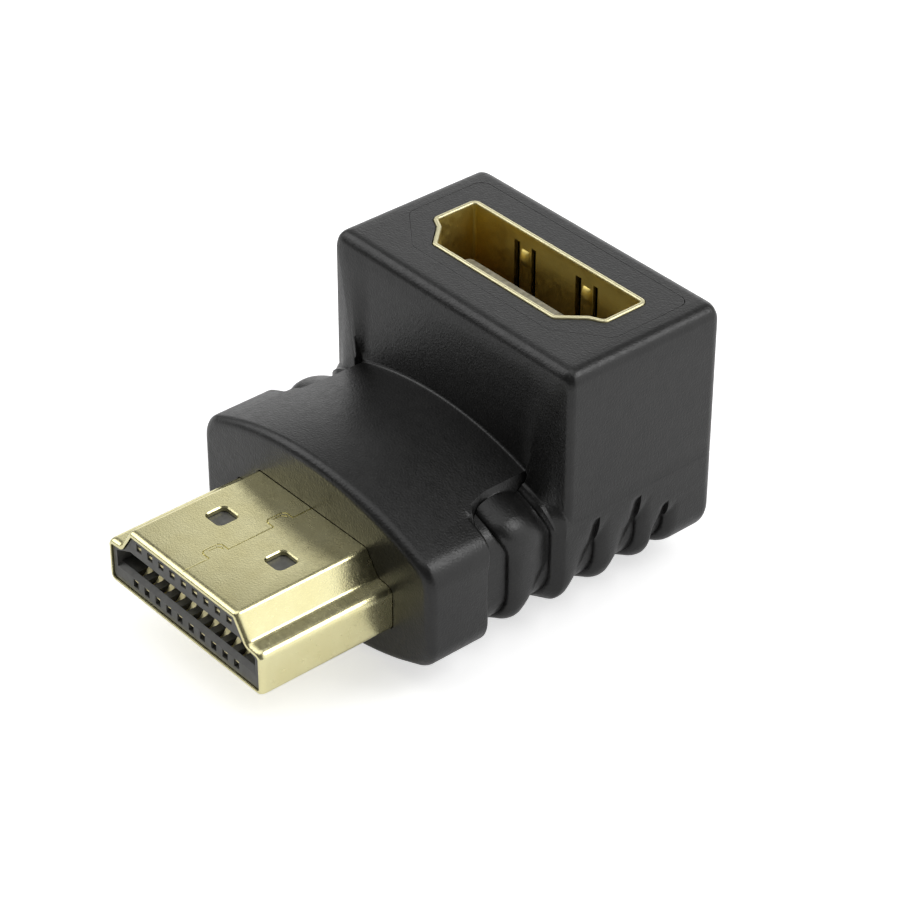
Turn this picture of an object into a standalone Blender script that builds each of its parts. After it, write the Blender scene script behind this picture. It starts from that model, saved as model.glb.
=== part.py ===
"""Right angle video adapter: a gilt plug, an L-shaped moulded body and an upright gilt port.

Sizes are in millimetres and turned to metres where a mesh is made. X is the width, Y runs
from the plug's tip to the back of the body, Z is up. Design places are measured from the
plug's tip (y) and from the flat underside (z). The origin is the middle of the underside.
"""
from math import asin, cos, pi, sin, sqrt

import bmesh
import bpy
from mathutils import Vector

MM = 0.001
COLLECTION = "right_angle_video_adapter"

# Clearances: between pieces that fit into each other, and between a plug and a port
FIT = 0.05
MATING_GAP = 0.05

# Plug shell, a folded sheet
PLUG_REACH = 8.98
PLUG_ROOT = 3.2
PLUG_WIDTH = 13.9
PLUG_HEIGHT = 4.45
PLUG_LEDGE_WIDTH = 1.2
PLUG_SHOULDER_RISE = 0.66
PLUG_LEDGE_RISE = 0.1
PLUG_SLOPE_WIDTH = 0.98
PLUG_ROUND = 0.5
PLUG_SHOULDER_ROUND = 0.35
SHEET = 0.3
TIP_ROLL = 0.16
HOLE_SPACING = 5.3
HOLE_SIZE = 1.4
HOLE_START = 4.08
SEAM_GAP = 0.06
DOVETAIL_REACH = 0.75
DOVETAIL_STARTS = (1.9, 6.3)
DOVETAIL_LENGTHS = (1.3, 1.35)
DOVETAIL_FLARE = 0.1
DOVETAIL_CORNER = 0.2

# Port, a folded shell round a tongue
PORT_LEDGE_WIDTH = 0.9
PORT_SHOULDER_RISE = 0.7
PORT_LEDGE_RISE = 0.45
PORT_SLOPE_WIDTH = 1.3
PORT_RIM_RISE = 0.1
RIM_ROLL = 0.08
LEG_LENGTH = 1.4
LEG_WIDTH = 0.8
LEG_SPACING = 1.4
LEG_ROOM = 0.12
FINGER_SPACING = 5.2
FINGER_WIDTH = 1.0
FINGER_SLOT = 0.42
FINGER_TOP = 0.87
FINGER_LENGTH = 6.2
FINGER_REACH = 0.24
FINGER_THICKNESS = 0.2
FINGER_BEND_START = 0.35
FINGER_BUMP_START = 0.6
FINGER_BUMP_END = 1.3
FINGER_BEND_END = 2.5
FINGER_ANCHOR = 0.25
BASE_HEIGHT = 2.4
TONGUE_DROP = 2.55
TONGUE_OFFSET = 0.2
TONGUE_SIDE_ROOM = 1.35
TONGUE_THICKNESS = 1.1
TONGUE_ROUND = 0.3
GROOVE_DEPTH = 0.12
PORT_CONTACT_WIDTH = 0.34
PORT_CONTACT_THICKNESS = 0.14
PORT_CONTACT_DROP = 0.5
PIN_LENGTH = 0.4

# Inner mould round the board, the plug's root and the port
INNER_TOP_SIDE_WALL = 1.4
INNER_TOP_FRONT_WALL = 0.94
INNER_TOP_BACK_WALL = 1.78
INNER_TOP_SLOPE_WIDTH = 3.0
INNER_TOP_SLOPE_LENGTH = 2.25
INNER_TOP_ROUND = 0.7
INNER_TOP_START = 3.6
INNER_SIDE_WALL = 0.95
INNER_COVER = 0.525
INNER_ROUND = 2.0
INNER_FRONT_WALL = 1.0
INNER_BLOCK_SETBACK = 0.5

# Moulded body: walls of the tower, then the sizes of the lower body
TOWER_SIDE_WALL = 1.39
TOWER_FRONT_WALL = 2.28
TOWER_BACK_WALL = 1.34
TOWER_HEIGHT = 17.13
TOWER_LEAN = 0.35
TOWER_BACK_LEAN = 0.08
TOWER_EDGE = 0.8
TOWER_TOP_EDGE = 0.65
TOWER_SHOULDER = 2.0
AXIS_HEIGHT = 5.4
FLAT_DEPTH = 0.04
CROWN_RADIUS = 22.6
CORNER_RADIUS = 1.7
FRONT_ROUND = 0.55
BACK_ROUND = 0.96

# Head block behind the plug, and the neck with its raised panel
HEAD_LENGTH = 4.12
HEAD_STEP_LENGTH = 0.7
NECK_LENGTH = 5.69
NECK_INSET = 0.2
PANEL_FILLET = 2.2
SHOULDER_WIDTH = 2.85
SHOULDER_STEP = 0.45

# Grip ribs, overlapping scales along each side: a round lip, then a slow fall to the next
RIB_COUNT = 5
RIB_START = 6.07
RIB_PITCH = 3.15
LAST_RIB_PITCH = 2.2
RIB_DEPTH = 0.55
RIB_LIP = 0.85
RIB_FLOOR = 0.6
RIB_TOP = 1.35
LAST_RIB_TOP = -0.3
RIB_FADE = 2.0
LAST_RIB_FADE = 0.5
RIB_LEAN = 0.6
RIB_LOWER_LEAN = 0.3
RIB_LEAN_START = 1.2
RIB_LEAN_END = 3.2

# Contacts and the insulators that hold them
NARROW_ROW = 9
WIDE_ROW = 10
ROW_END_WIDTH = 1.6825
CONTACT_WIDTH = 0.4
CONTACT_THICKNESS = 0.15
CHANNEL_WIDTH = 0.5
RUN_WIDTH = 0.46
FACE_RECESS = 0.12
FACE_WALL = 0.3
FACE_HOLE_WIDTH = 0.46
FACE_HOLE_STEP = 0.02
INSULATOR_END = 11.0
SLOT_SIDE_WALL = 0.7
SLOT_FLOOR = -0.8
SLOT_ROOF = 0.68
SLOT_SHOULDER = 0.08
SLOT_SLOPE_WIDTH = 1.3
SLOT_DEPTH = 7.2
SLOT_LEAD_IN = 0.22
HOLE_NARROW_LOW = 1.12
HOLE_NARROW_HIGH = 1.62
HOLE_WIDE_LOW = -1.62
HOLE_WIDE_HIGH = -1.07
SPRING_LENGTH = 4.4
UPPER_RUN = 0.95
LOWER_RUN = -1.12
RUN_ROOM = 0.36
TIP_SETBACK = 0.1
UPPER_TIP = 1.3
LOWER_TIP = -1.2
RAMP_START = 0.83
NOSE_START = 1.6
NOSE_LENGTH = 0.35
UPPER_NOSE = 0.2
LOWER_NOSE = -0.36
ARM_BEND = 0.3
TAIL_BEND_START = 0.2
TAIL_BEND_END = 1.0
TAIL_LENGTH = 2.4
TAIL_SEAT = 0.05

# Board between plug and port
BOARD_THICKNESS = 1.0
BOARD_FRONT_GAP = 0.3
BOARD_NECK_WALL = 0.6
BOARD_WALL = 0.8
BOARD_GAP = 0.1
BOARD_ROOM = 0.6
PIN_HOLE = 0.56

# Widths, from the port outwards
PORT_OPENING_WIDTH = PLUG_WIDTH + 2 * MATING_GAP
PORT_OPENING_HEIGHT = PLUG_HEIGHT + 2 * MATING_GAP
PORT_HALF_WIDTH = PORT_OPENING_WIDTH / 2 + SHEET
PORT_HALF_DEPTH = PORT_OPENING_HEIGHT / 2 + SHEET
PORT_SHOULDER_HALF_WIDTH = PORT_HALF_WIDTH - PORT_LEDGE_WIDTH
PORT_TOP_HALF_WIDTH = PORT_SHOULDER_HALF_WIDTH - PORT_SLOPE_WIDTH
TONGUE_HALF_WIDTH = PORT_OPENING_WIDTH / 2 - TONGUE_SIDE_ROOM
PLUG_SHOULDER_HALF_WIDTH = PLUG_WIDTH / 2 - PLUG_LEDGE_WIDTH
PLUG_TOP_HALF_WIDTH = PLUG_SHOULDER_HALF_WIDTH - PLUG_SLOPE_WIDTH
SLOT_HALF_WIDTH = PLUG_WIDTH / 2 - SLOT_SIDE_WALL
SLOT_ROOF_HALF_WIDTH = SLOT_HALF_WIDTH - SLOT_SLOPE_WIDTH
CONTACT_PITCH = 2 * (SLOT_HALF_WIDTH - ROW_END_WIDTH) / (WIDE_ROW - 1)
INNER_TOP_HALF_WIDTH = PORT_HALF_WIDTH + INNER_TOP_SIDE_WALL
INNER_HALF_WIDTH = PLUG_WIDTH / 2 + INNER_SIDE_WALL
INNER_HALF_HEIGHT = PLUG_HEIGHT / 2 + INNER_COVER
HALF_WIDTH = INNER_TOP_HALF_WIDTH + TOWER_SIDE_WALL
PANEL_HALF_WIDTH = HALF_WIDTH - SHOULDER_WIDTH
BOARD_NECK_HALF_WIDTH = INNER_HALF_WIDTH - BOARD_NECK_WALL
BOARD_HALF_WIDTH = INNER_TOP_HALF_WIDTH - BOARD_WALL
FLAT_HALF_WIDTH = sqrt(CROWN_RADIUS ** 2 - (CROWN_RADIUS - FLAT_DEPTH) ** 2)

# Places along the body, from the plug's tip back
BODY_FRONT = PLUG_REACH
HEAD_BACK = BODY_FRONT + HEAD_LENGTH
TOWER_FRONT = HEAD_BACK + NECK_LENGTH
INNER_TOP_FRONT = TOWER_FRONT + TOWER_FRONT_WALL
PORT_Y = INNER_TOP_FRONT + INNER_TOP_FRONT_WALL + PORT_HALF_DEPTH
TONGUE_Y = PORT_Y + TONGUE_OFFSET
INNER_TOP_BACK = PORT_Y + PORT_HALF_DEPTH + INNER_TOP_BACK_WALL
INNER_BLOCK_BACK = INNER_TOP_BACK - INNER_BLOCK_SETBACK
BODY_BACK = INNER_TOP_BACK + TOWER_BACK_WALL
OVERALL_LENGTH = BODY_BACK
SHELL_END = PLUG_REACH + PLUG_ROOT
BOARD_FRONT = SHELL_END + BOARD_FRONT_GAP
BOARD_WIDE_START = INNER_TOP_FRONT + INNER_TOP_SLOPE_LENGTH
BOARD_END = INNER_TOP_BACK - BOARD_WALL

# Height of the arched top over the plug's middle plane, then heights over the underside
CROWN_HEIGHT = AXIS_HEIGHT + FLAT_DEPTH
BOARD_TOP = AXIS_HEIGHT + BOARD_THICKNESS / 2
BOARD_BOTTOM = AXIS_HEIGHT - BOARD_THICKNESS / 2
PORT_RIM = TOWER_HEIGHT + PORT_RIM_RISE
TONGUE_TOP = PORT_RIM - TONGUE_DROP

# How finely rounds are cut
CORNER_SEGMENTS = 3
SIDE_STEPS = 6
PANEL_STEPS = 4
ROUND_STEPS = 3
LIP_STEPS = 3
FALL_STEPS = 3
PANEL_EDGE = 0.08

# How far a cutter runs past what it cuts, and into the room that another one cuts
OVERRUN = 1.0
OVERLAP = 0.2


def scene_point(x, y, z):
    """A design place in millimetres as a point of the scene in metres."""
    return Vector((x, y - OVERALL_LENGTH / 2, z)) * MM


def material(name, colour, roughness, metallic=0.0):
    """A plain Principled finish."""
    made = bpy.data.materials.new(name)
    made.use_nodes = True
    shader = made.node_tree.nodes["Principled BSDF"]
    shader.inputs["Base Color"].default_value = (*colour, 1.0)
    shader.inputs["Roughness"].default_value = roughness
    shader.inputs["Metallic"].default_value = metallic
    return made


def start_scene():
    """Remove what the scene holds and make the two collections."""
    for leftover in list(bpy.data.objects):
        bpy.data.objects.remove(leftover, do_unlink=True)
    parts = bpy.data.collections.new(COLLECTION)
    cutters = bpy.data.collections.new("cutters")
    bpy.context.scene.collection.children.link(parts)
    bpy.context.scene.collection.children.link(cutters)
    return parts, cutters


PARTS, CUTTERS = start_scene()


def add_object(name, mesh_data, finish=None):
    """Link a finished bmesh as a part, or as a hidden cutter when it has no finish."""
    bmesh.ops.recalc_face_normals(mesh_data, faces=mesh_data.faces)
    mesh = bpy.data.meshes.new(name)
    mesh_data.to_mesh(mesh)
    mesh_data.free()
    made = bpy.data.objects.new(name, mesh)
    if finish is None:
        CUTTERS.objects.link(made)
        made.hide_render = True
        made.display_type = "WIRE"
    else:
        PARTS.objects.link(made)
        mesh.materials.append(finish)
    return made


def add_rings(mesh_data, rings, ring_closed=False):
    """Skin a row of outlines with equal point counts, with caps unless the row is a loop."""
    rows = [[mesh_data.verts.new(scene_point(*p)) for p in ring] for ring in rings]
    pairs = list(zip(rows, rows[1:]))
    if ring_closed:
        pairs.append((rows[-1], rows[0]))
    for low, high in pairs:
        for i in range(len(low)):
            j = (i + 1) % len(low)
            mesh_data.faces.new((low[i], low[j], high[j], high[i]))
    if not ring_closed:
        mesh_data.faces.new(rows[0])
        mesh_data.faces.new(rows[-1])


def loft(name, rings, finish=None, ring_closed=False):
    """One solid skinned over a row of outlines."""
    mesh_data = bmesh.new()
    add_rings(mesh_data, rings, ring_closed)
    return add_object(name, mesh_data, finish)


def boxes(name, corners, finish=None):
    """Separate boxes in one object, each from its lowest and highest corner."""
    mesh_data = bmesh.new()
    for low, high in corners:
        near = scene_point(*low)
        far = scene_point(*high)
        cube = bmesh.ops.create_cube(mesh_data, size=1.0)["verts"]
        bmesh.ops.scale(mesh_data, vec=far - near, verts=cube)
        bmesh.ops.translate(mesh_data, vec=(far + near) / 2, verts=cube)
    return add_object(name, mesh_data, finish)


def boolean(target, cutter, operation="DIFFERENCE"):
    """Cut or join one solid with a hidden one."""
    step = target.modifiers.new(cutter.name, "BOOLEAN")
    step.object = cutter
    step.operation = operation
    step.solver = "EXACT"


def fillet(before, corner, after, radius, segments):
    """Points of a round that replaces one corner of an outline."""
    to_before = (Vector(before) - Vector(corner)).normalized()
    to_after = (Vector(after) - Vector(corner)).normalized()
    half = to_before.angle(to_after) / 2
    reach = radius / max(sin(half), 1e-6) * cos(half)
    start = Vector(corner) + to_before * reach
    end = Vector(corner) + to_after * reach
    centre = Vector(corner) + (to_before + to_after).normalized() * (radius / sin(half))
    points = []
    for i in range(segments + 1):
        arm = start.lerp(end, i / segments) - centre
        points.append(centre + arm.normalized() * radius)
    return points


def rounded(corners, segments=3):
    """A closed outline from corners (x, y, radius)."""
    outline = []
    count = len(corners)
    for i, (x, y, radius) in enumerate(corners):
        before = corners[i - 1][:2]
        after = corners[(i + 1) % count][:2]
        if radius > 0:
            outline += fillet(before, (x, y), after, radius, segments)
        else:
            outline.append(Vector((x, y)))
    return outline


def offset(outline, distance):
    """An anticlockwise outline moved outwards (or inwards when negative) by one distance."""
    moved = []
    count = len(outline)
    for i, point in enumerate(outline):
        ahead = (outline[(i + 1) % count] - point).normalized()
        behind = (point - outline[i - 1]).normalized()
        normal = Vector((ahead.y + behind.y, -ahead.x - behind.x)).normalized()
        stretch = max(normal.dot(Vector((ahead.y, -ahead.x))), 0.5)
        moved.append(point + normal * (distance / stretch))
    return moved


def rounded_box_outline(half_width, half_height, radius, segments=4):
    """A rounded rectangle round the outline's own centre."""
    corners = [(half_width, -half_height), (half_width, half_height),
               (-half_width, half_height), (-half_width, -half_height)]
    return rounded([(x, y, radius) for x, y in corners], segments)


def shell_outline(half_width, half_height, shoulder, rise, ledge, top, grow=0.0):
    """The connector's outline: wide side at the bottom, narrow side at the top."""
    right = [(half_width, -half_height, PLUG_ROUND), (half_width, rise, PLUG_ROUND),
             (shoulder, rise + ledge, PLUG_SHOULDER_ROUND), (top, half_height, PLUG_SHOULDER_ROUND)]
    left = [(-x, y, radius) for x, y, radius in reversed(right)]
    return offset(rounded(right + left), grow)


def plug_outline(grow=0.0):
    """The plug shell's outer outline in x and height over the plug's middle plane."""
    return shell_outline(PLUG_WIDTH / 2, PLUG_HEIGHT / 2, PLUG_SHOULDER_HALF_WIDTH,
                         PLUG_SHOULDER_RISE, PLUG_LEDGE_RISE, PLUG_TOP_HALF_WIDTH, grow)


def port_outline(grow=0.0):
    """The port shell's outer outline in x and distance in front of the port's middle."""
    return shell_outline(PORT_HALF_WIDTH, PORT_HALF_DEPTH, PORT_SHOULDER_HALF_WIDTH,
                         PORT_SHOULDER_RISE, PORT_LEDGE_RISE, PORT_TOP_HALF_WIDTH, grow)


def along_plug(outline, y):
    """An outline of the plug's section placed at one distance from its tip."""
    return [(p.x, y, AXIS_HEIGHT + p.y) for p in outline]


def along_port(outline, z):
    """An outline of the port's section placed at one height."""
    return [(p.x, PORT_Y - p.y, z) for p in outline]


def crown(x):
    """Height of the body's arched top over the plug's middle plane."""
    return CROWN_HEIGHT - CROWN_RADIUS + sqrt(CROWN_RADIUS ** 2 - x ** 2)


def corner_arc(half_width, drop):
    """The round between the crown, lowered by a drop, and the side, from crown to side."""
    inner_radius = CROWN_RADIUS - CORNER_RADIUS
    centre_x = half_width - CORNER_RADIUS
    centre_z = CROWN_HEIGHT - drop - CROWN_RADIUS + sqrt(inner_radius ** 2 - centre_x ** 2)
    start = pi / 2 - asin(centre_x / inner_radius)
    points = []
    for i in range(CORNER_SEGMENTS + 1):
        angle = start * (1 - i / CORNER_SEGMENTS)
        points.append((centre_x + CORNER_RADIUS * cos(angle), centre_z + CORNER_RADIUS * sin(angle)))
    return points


def between(low, high, share):
    """A value or a point part of the way from one to the other."""
    if isinstance(low, tuple):
        return tuple(a + (b - a) * share for a, b in zip(low, high))
    return low + (high - low) * share


def ramp(value, start, end):
    """0 before start, 1 after end and even between."""
    return min(max((value - start) / (end - start), 0.0), 1.0)


def rib_walls():
    """Places of the ribs' steep walls, which face the plug."""
    walls = [BODY_FRONT + RIB_START + i * RIB_PITCH for i in range(RIB_COUNT - 1)]
    walls.append(walls[-1] + LAST_RIB_PITCH)
    return walls


def rib_fall(y, wall, next_wall):
    """Share of the rib depth that a scale has lost behind its lip, on its way to the next wall."""
    share = ramp(y, wall + RIB_LIP, next_wall - RIB_FLOOR)
    return share * share * (3 - 2 * share)


def rib_lip(y, wall):
    """Depth of a scale's round lip under its crest, as a share of the rib depth."""
    back = 1 - ramp(y, wall, wall + RIB_LIP)
    return 1 - sqrt(1 - back * back)


def rib_cut(y, reach):
    """Share of the rib depth cut at a place, where the floors keep only a share of their depth."""
    walls = [w for w in rib_walls() if w <= y]
    if not walls:
        return reach
    later = [w for w in rib_walls() if w > y]
    lip = rib_lip(y, walls[-1])
    if lip > 0:
        return min(lip, reach)
    return rib_fall(y, walls[-1], later[0]) * reach if later else 0.0


def rib_reach(y, height):
    """How much of the floors' depth is left at a height: all on the neck, less on the tower."""
    last = y > rib_walls()[-2] + RIB_LIP
    top = LAST_RIB_TOP if last else RIB_TOP
    fade = ramp(-height, -top, -top + (LAST_RIB_FADE if last else RIB_FADE))
    return between(1.0, sqrt(fade), ramp(y, TOWER_FRONT - TOWER_LEAN, TOWER_FRONT))


def round_drop(distance, radius):
    """How far a rounded edge has still to rise at a distance in from its end."""
    missing = max(radius - distance, 0.0)
    return radius - sqrt(max(radius ** 2 - missing ** 2, 0.0))


def panel_half_width(y):
    """Half of the raised panel's width, which flares into the head in a round."""
    flare = PANEL_FILLET - sqrt(max(PANEL_FILLET ** 2 - max(HEAD_BACK + PANEL_FILLET - y, 0.0) ** 2, 0.0))
    widest = HALF_WIDTH - NECK_INSET - CORNER_RADIUS
    return min(PANEL_HALF_WIDTH + flare, widest)


def flank(panel, half_width, drop, lower_drop):
    """The section's right flank: shoulder foot, upper round, side, lower round, lower foot."""
    foot_x = panel + PANEL_EDGE
    upper = corner_arc(half_width, drop)
    lower = [(x, -z) for x, z in reversed(corner_arc(half_width, lower_drop))]
    side = [between(upper[-1], lower[0], i / SIDE_STEPS) for i in range(1, SIDE_STEPS)]
    low_x = PANEL_HALF_WIDTH + PANEL_EDGE
    shoulder = [(foot_x, crown(foot_x) - drop)]
    return shoulder + upper + side + lower + [(low_x, lower_drop - crown(low_x))]


def tower_top(y):
    """Right half of the tower's section above the neck, with as many points as the neck's top."""
    front = y - TOWER_FRONT
    back = BODY_BACK - y
    shrink = round_drop(front, TOWER_EDGE) + round_drop(back, TOWER_EDGE)
    drop = round_drop(front, TOWER_TOP_EDGE) + round_drop(back, TOWER_TOP_EDGE)
    half_width = HALF_WIDTH - shrink
    height = TOWER_HEIGHT - AXIS_HEIGHT - drop
    flat = half_width - TOWER_TOP_EDGE
    points = [(flat * i / PANEL_STEPS, height) for i in range(PANEL_STEPS)]
    for i in range(CORNER_SEGMENTS + 1):
        angle = pi / 2 * (1 - i / CORNER_SEGMENTS)
        points.append((flat + TOWER_TOP_EDGE * cos(angle),
                       height - TOWER_TOP_EDGE * (1 - sin(angle))))
    points.append((half_width, TOWER_SHOULDER))
    return points


def past_head(y):
    """0 on the head, 1 on the neck, with a round edge where the head ends."""
    share = ramp(y, HEAD_BACK - HEAD_STEP_LENGTH, HEAD_BACK)
    return 1 - sqrt(1 - share * share)


def body_section(y):
    """Right half of the body's section, from the top middle to the underside."""
    shrink = round_drop(y - BODY_FRONT, FRONT_ROUND) + round_drop(BODY_BACK - y, BACK_ROUND)
    on_tower = ramp(y, TOWER_FRONT - TOWER_LEAN, TOWER_FRONT)
    inset = shrink + NECK_INSET * past_head(y) * (1 - on_tower)
    drop = shrink + SHOULDER_STEP * past_head(y)
    panel = panel_half_width(y)
    plain = flank(panel, HALF_WIDTH - inset, drop, inset)
    deep = flank(panel, HALF_WIDTH - inset - RIB_DEPTH, drop + RIB_DEPTH, inset + RIB_DEPTH)
    outer = []
    for surface, floor in zip(plain, deep):
        outer.append(between(surface, floor, rib_cut(y, rib_reach(y, surface[1])) * past_head(y)))
    outer[-1] = plain[-1]
    shares = [i / PANEL_STEPS for i in range(PANEL_STEPS + 1)]
    base_x = [between(PANEL_HALF_WIDTH, FLAT_HALF_WIDTH, i / (PANEL_STEPS - 1))
              for i in range(PANEL_STEPS)] + [0.0]
    base = [(x, inset - min(crown(x), AXIS_HEIGHT + inset - shrink)) for x in base_x]
    top = [(panel * share, crown(panel * share) - shrink) for share in shares]
    top += outer[:CORNER_SEGMENTS + 1]
    if on_tower == 1.0:
        top = tower_top(y)
    return top + outer[CORNER_SEGMENTS + 1:] + base


def round_steps(count):
    """Shares of a quarter round's length at even angles, dense where it is steep."""
    return [1 - cos(pi / 2 * i / count) for i in range(count + 1)]


def rib_stations():
    """Places along the body that the ribs' lips and falls need."""
    stations = []
    walls = rib_walls()
    for wall, next_wall in zip(walls, walls[1:] + [BODY_BACK]):
        stations += [wall + RIB_LIP * step for step in round_steps(LIP_STEPS)]
        if next_wall < BODY_BACK:
            start = wall + RIB_LIP
            fall = next_wall - RIB_FLOOR - start
            stations += [start + fall * i / FALL_STEPS for i in range(1, FALL_STEPS + 1)]
    return stations


def body_stations():
    """Places along the body where its section is given."""
    stations = [BODY_FRONT + FRONT_ROUND * step for step in round_steps(ROUND_STEPS)]
    stations += [HEAD_BACK - HEAD_STEP_LENGTH * step for step in round_steps(ROUND_STEPS)]
    stations += rib_stations()
    stations += [TOWER_FRONT - TOWER_LEAN]
    stations += [TOWER_FRONT + TOWER_EDGE * step for step in round_steps(ROUND_STEPS)]
    stations += [BODY_BACK - BACK_ROUND * step for step in round_steps(ROUND_STEPS)]
    stations.sort()
    kept = [y for y in stations if not TOWER_FRONT - TOWER_LEAN < y < TOWER_FRONT]
    return [y for i, y in enumerate(kept) if i == 0 or y - kept[i - 1] > 0.02]


def body_lean(y, x, z):
    """How far a point of a section lies in front of it: the ribs' ends, and the tower's back."""
    beside_panel = ramp(abs(x), PANEL_HALF_WIDTH, PANEL_HALF_WIDTH + PANEL_EDGE)
    on_ribs = beside_panel * ramp(y, HEAD_BACK, HEAD_BACK + RIB_LEAN)
    low = RIB_LOWER_LEAN * ramp(-z, RIB_LEAN_START, RIB_LEAN_END)
    low *= ramp(-y, -BODY_BACK + BACK_ROUND, -rib_walls()[-1])
    if y >= TOWER_FRONT:
        tower = ramp(z, 0.0, TOWER_HEIGHT - AXIS_HEIGHT)
        return low * on_ribs + TOWER_BACK_LEAN * ramp(y, BODY_BACK - BACK_ROUND, BODY_BACK) * tower
    high = RIB_LEAN * ramp(z, RIB_LEAN_START, RIB_LEAN_END)
    return (low + high * ramp(-y, -TOWER_FRONT, -TOWER_FRONT + RIB_LEAN)) * on_ribs


def body_ring(y):
    """The whole section of the body at one place."""
    right = body_section(y)
    left = [(-x, z) for x, z in reversed(right[1:-1])]
    return [(x, y - body_lean(y, x, z), AXIS_HEIGHT + z) for x, z in right + left]


def prism_y(name, outline, start, end, finish=None):
    """A plug-wise outline carried along the plug's axis."""
    return loft(name, [along_plug(outline, start), along_plug(outline, end)], finish)


def prism_z(name, outline, low, high, finish=None):
    """An outline in x and y carried upwards."""
    return loft(name, [[(p[0], p[1], z) for p in outline] for z in (low, high)], finish)


def port_prism(name, grow, low, high, finish=None):
    """The port's outline carried upwards."""
    outline = port_outline(grow)
    return loft(name, [along_port(outline, low), along_port(outline, high)], finish)


def inner_block_outline(grow):
    """Section of the inner mould's lower block."""
    return rounded_box_outline(INNER_HALF_WIDTH + grow, INNER_HALF_HEIGHT + grow, INNER_ROUND)


def inner_top_outline(grow):
    """Plan of the inner mould round the port: square at the back, sloped at the front."""
    slope_end = INNER_TOP_FRONT + INNER_TOP_SLOPE_LENGTH
    right = [(INNER_TOP_HALF_WIDTH - INNER_TOP_SLOPE_WIDTH, INNER_TOP_FRONT, INNER_TOP_ROUND),
             (INNER_TOP_HALF_WIDTH, slope_end, INNER_TOP_ROUND),
             (INNER_TOP_HALF_WIDTH, INNER_TOP_BACK, INNER_TOP_ROUND)]
    left = [(-x, y, radius) for x, y, radius in reversed(right)]
    return offset(rounded(right + left), grow)


def board_outline(grow):
    """Plan of the board: narrow in the neck, wide under the port."""
    front = BOARD_FRONT - grow
    neck = BOARD_NECK_HALF_WIDTH + grow
    wide = BOARD_HALF_WIDTH + grow
    step = BOARD_WIDE_START - grow
    back = BOARD_END + grow
    right = [(neck, front), (neck, step), (wide, step), (wide, back)]
    return right + [(-x, y) for x, y in reversed(right)]


def build_overmould(finish):
    """The outer moulding: ribbed lower body and tower, hollowed for the inner mould and plug."""
    body = loft("overmould", [body_ring(y) for y in body_stations()], finish)
    block_start = BODY_FRONT + INNER_FRONT_WALL - FIT
    boolean(body, prism_y("cut_inner_block", inner_block_outline(FIT), block_start,
                          INNER_BLOCK_BACK + FIT))
    boolean(body, prism_z("cut_inner_top", inner_top_outline(FIT), INNER_TOP_START - FIT,
                          TOWER_HEIGHT + OVERRUN))
    boolean(body, prism_y("cut_plug_hole", plug_outline(FIT), BODY_FRONT - OVERRUN,
                          block_start + OVERRUN))
    return body


def build_inner_mould(finish):
    """The first moulding, which holds the board and both connectors."""
    start = BODY_FRONT + INNER_FRONT_WALL
    block = prism_y("inner_mould", inner_block_outline(0.0), start, INNER_BLOCK_BACK, finish)
    boolean(block, prism_z("cut_inner_tower", inner_top_outline(0.0), INNER_TOP_START,
                           TOWER_HEIGHT), "UNION")
    boolean(block, prism_z("cut_board_room", board_outline(BOARD_GAP), BOARD_BOTTOM - BOARD_ROOM,
                           BOARD_TOP + BOARD_ROOM))
    boolean(block, prism_y("cut_plug_root", plug_outline(FIT), start - OVERRUN,
                           BOARD_FRONT + BOARD_GAP))
    boolean(block, port_prism("cut_port_well", FIT, BOARD_TOP, TOWER_HEIGHT + OVERRUN))
    return block


def row_places(count):
    """Places of a row of contacts across the width."""
    return [(i - (count - 1) / 2) * CONTACT_PITCH for i in range(count)]


def thick_path(path, thickness):
    """The outline of a path with a thickness: along one side and back along the other."""
    near = []
    far = []
    points = [Vector(p) for p in path]
    for i, point in enumerate(points):
        ahead = (points[min(i + 1, len(points) - 1)] - points[min(i, len(points) - 2)]).normalized()
        behind = (points[max(i, 1)] - points[max(i - 1, 0)]).normalized()
        normal = Vector((-ahead.y - behind.y, ahead.x + behind.x)).normalized()
        reach = thickness / 2 / max(normal.dot(Vector((-ahead.y, ahead.x))), 0.5)
        near.append(point + normal * reach)
        far.append(point - normal * reach)
    return near + far[::-1]


def strip_rings(path, thickness, middle, width):
    """Rings of a bent strip that lies in the y and z plane."""
    outline = thick_path(path, thickness)
    return [[(x, p.x, p.y) for p in outline] for x in (middle - width / 2, middle + width / 2)]


def dovetail(start, length):
    """The seam's side step that locks the sheet's two edges together."""
    corner = DOVETAIL_CORNER
    return [(0.0, start), (-DOVETAIL_REACH + corner, start - DOVETAIL_FLARE / 2),
            (-DOVETAIL_REACH, start + corner), (-DOVETAIL_REACH, start + length - corner),
            (-DOVETAIL_REACH + corner, start + length + DOVETAIL_FLARE / 2),
            (0.0, start + length)]


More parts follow.
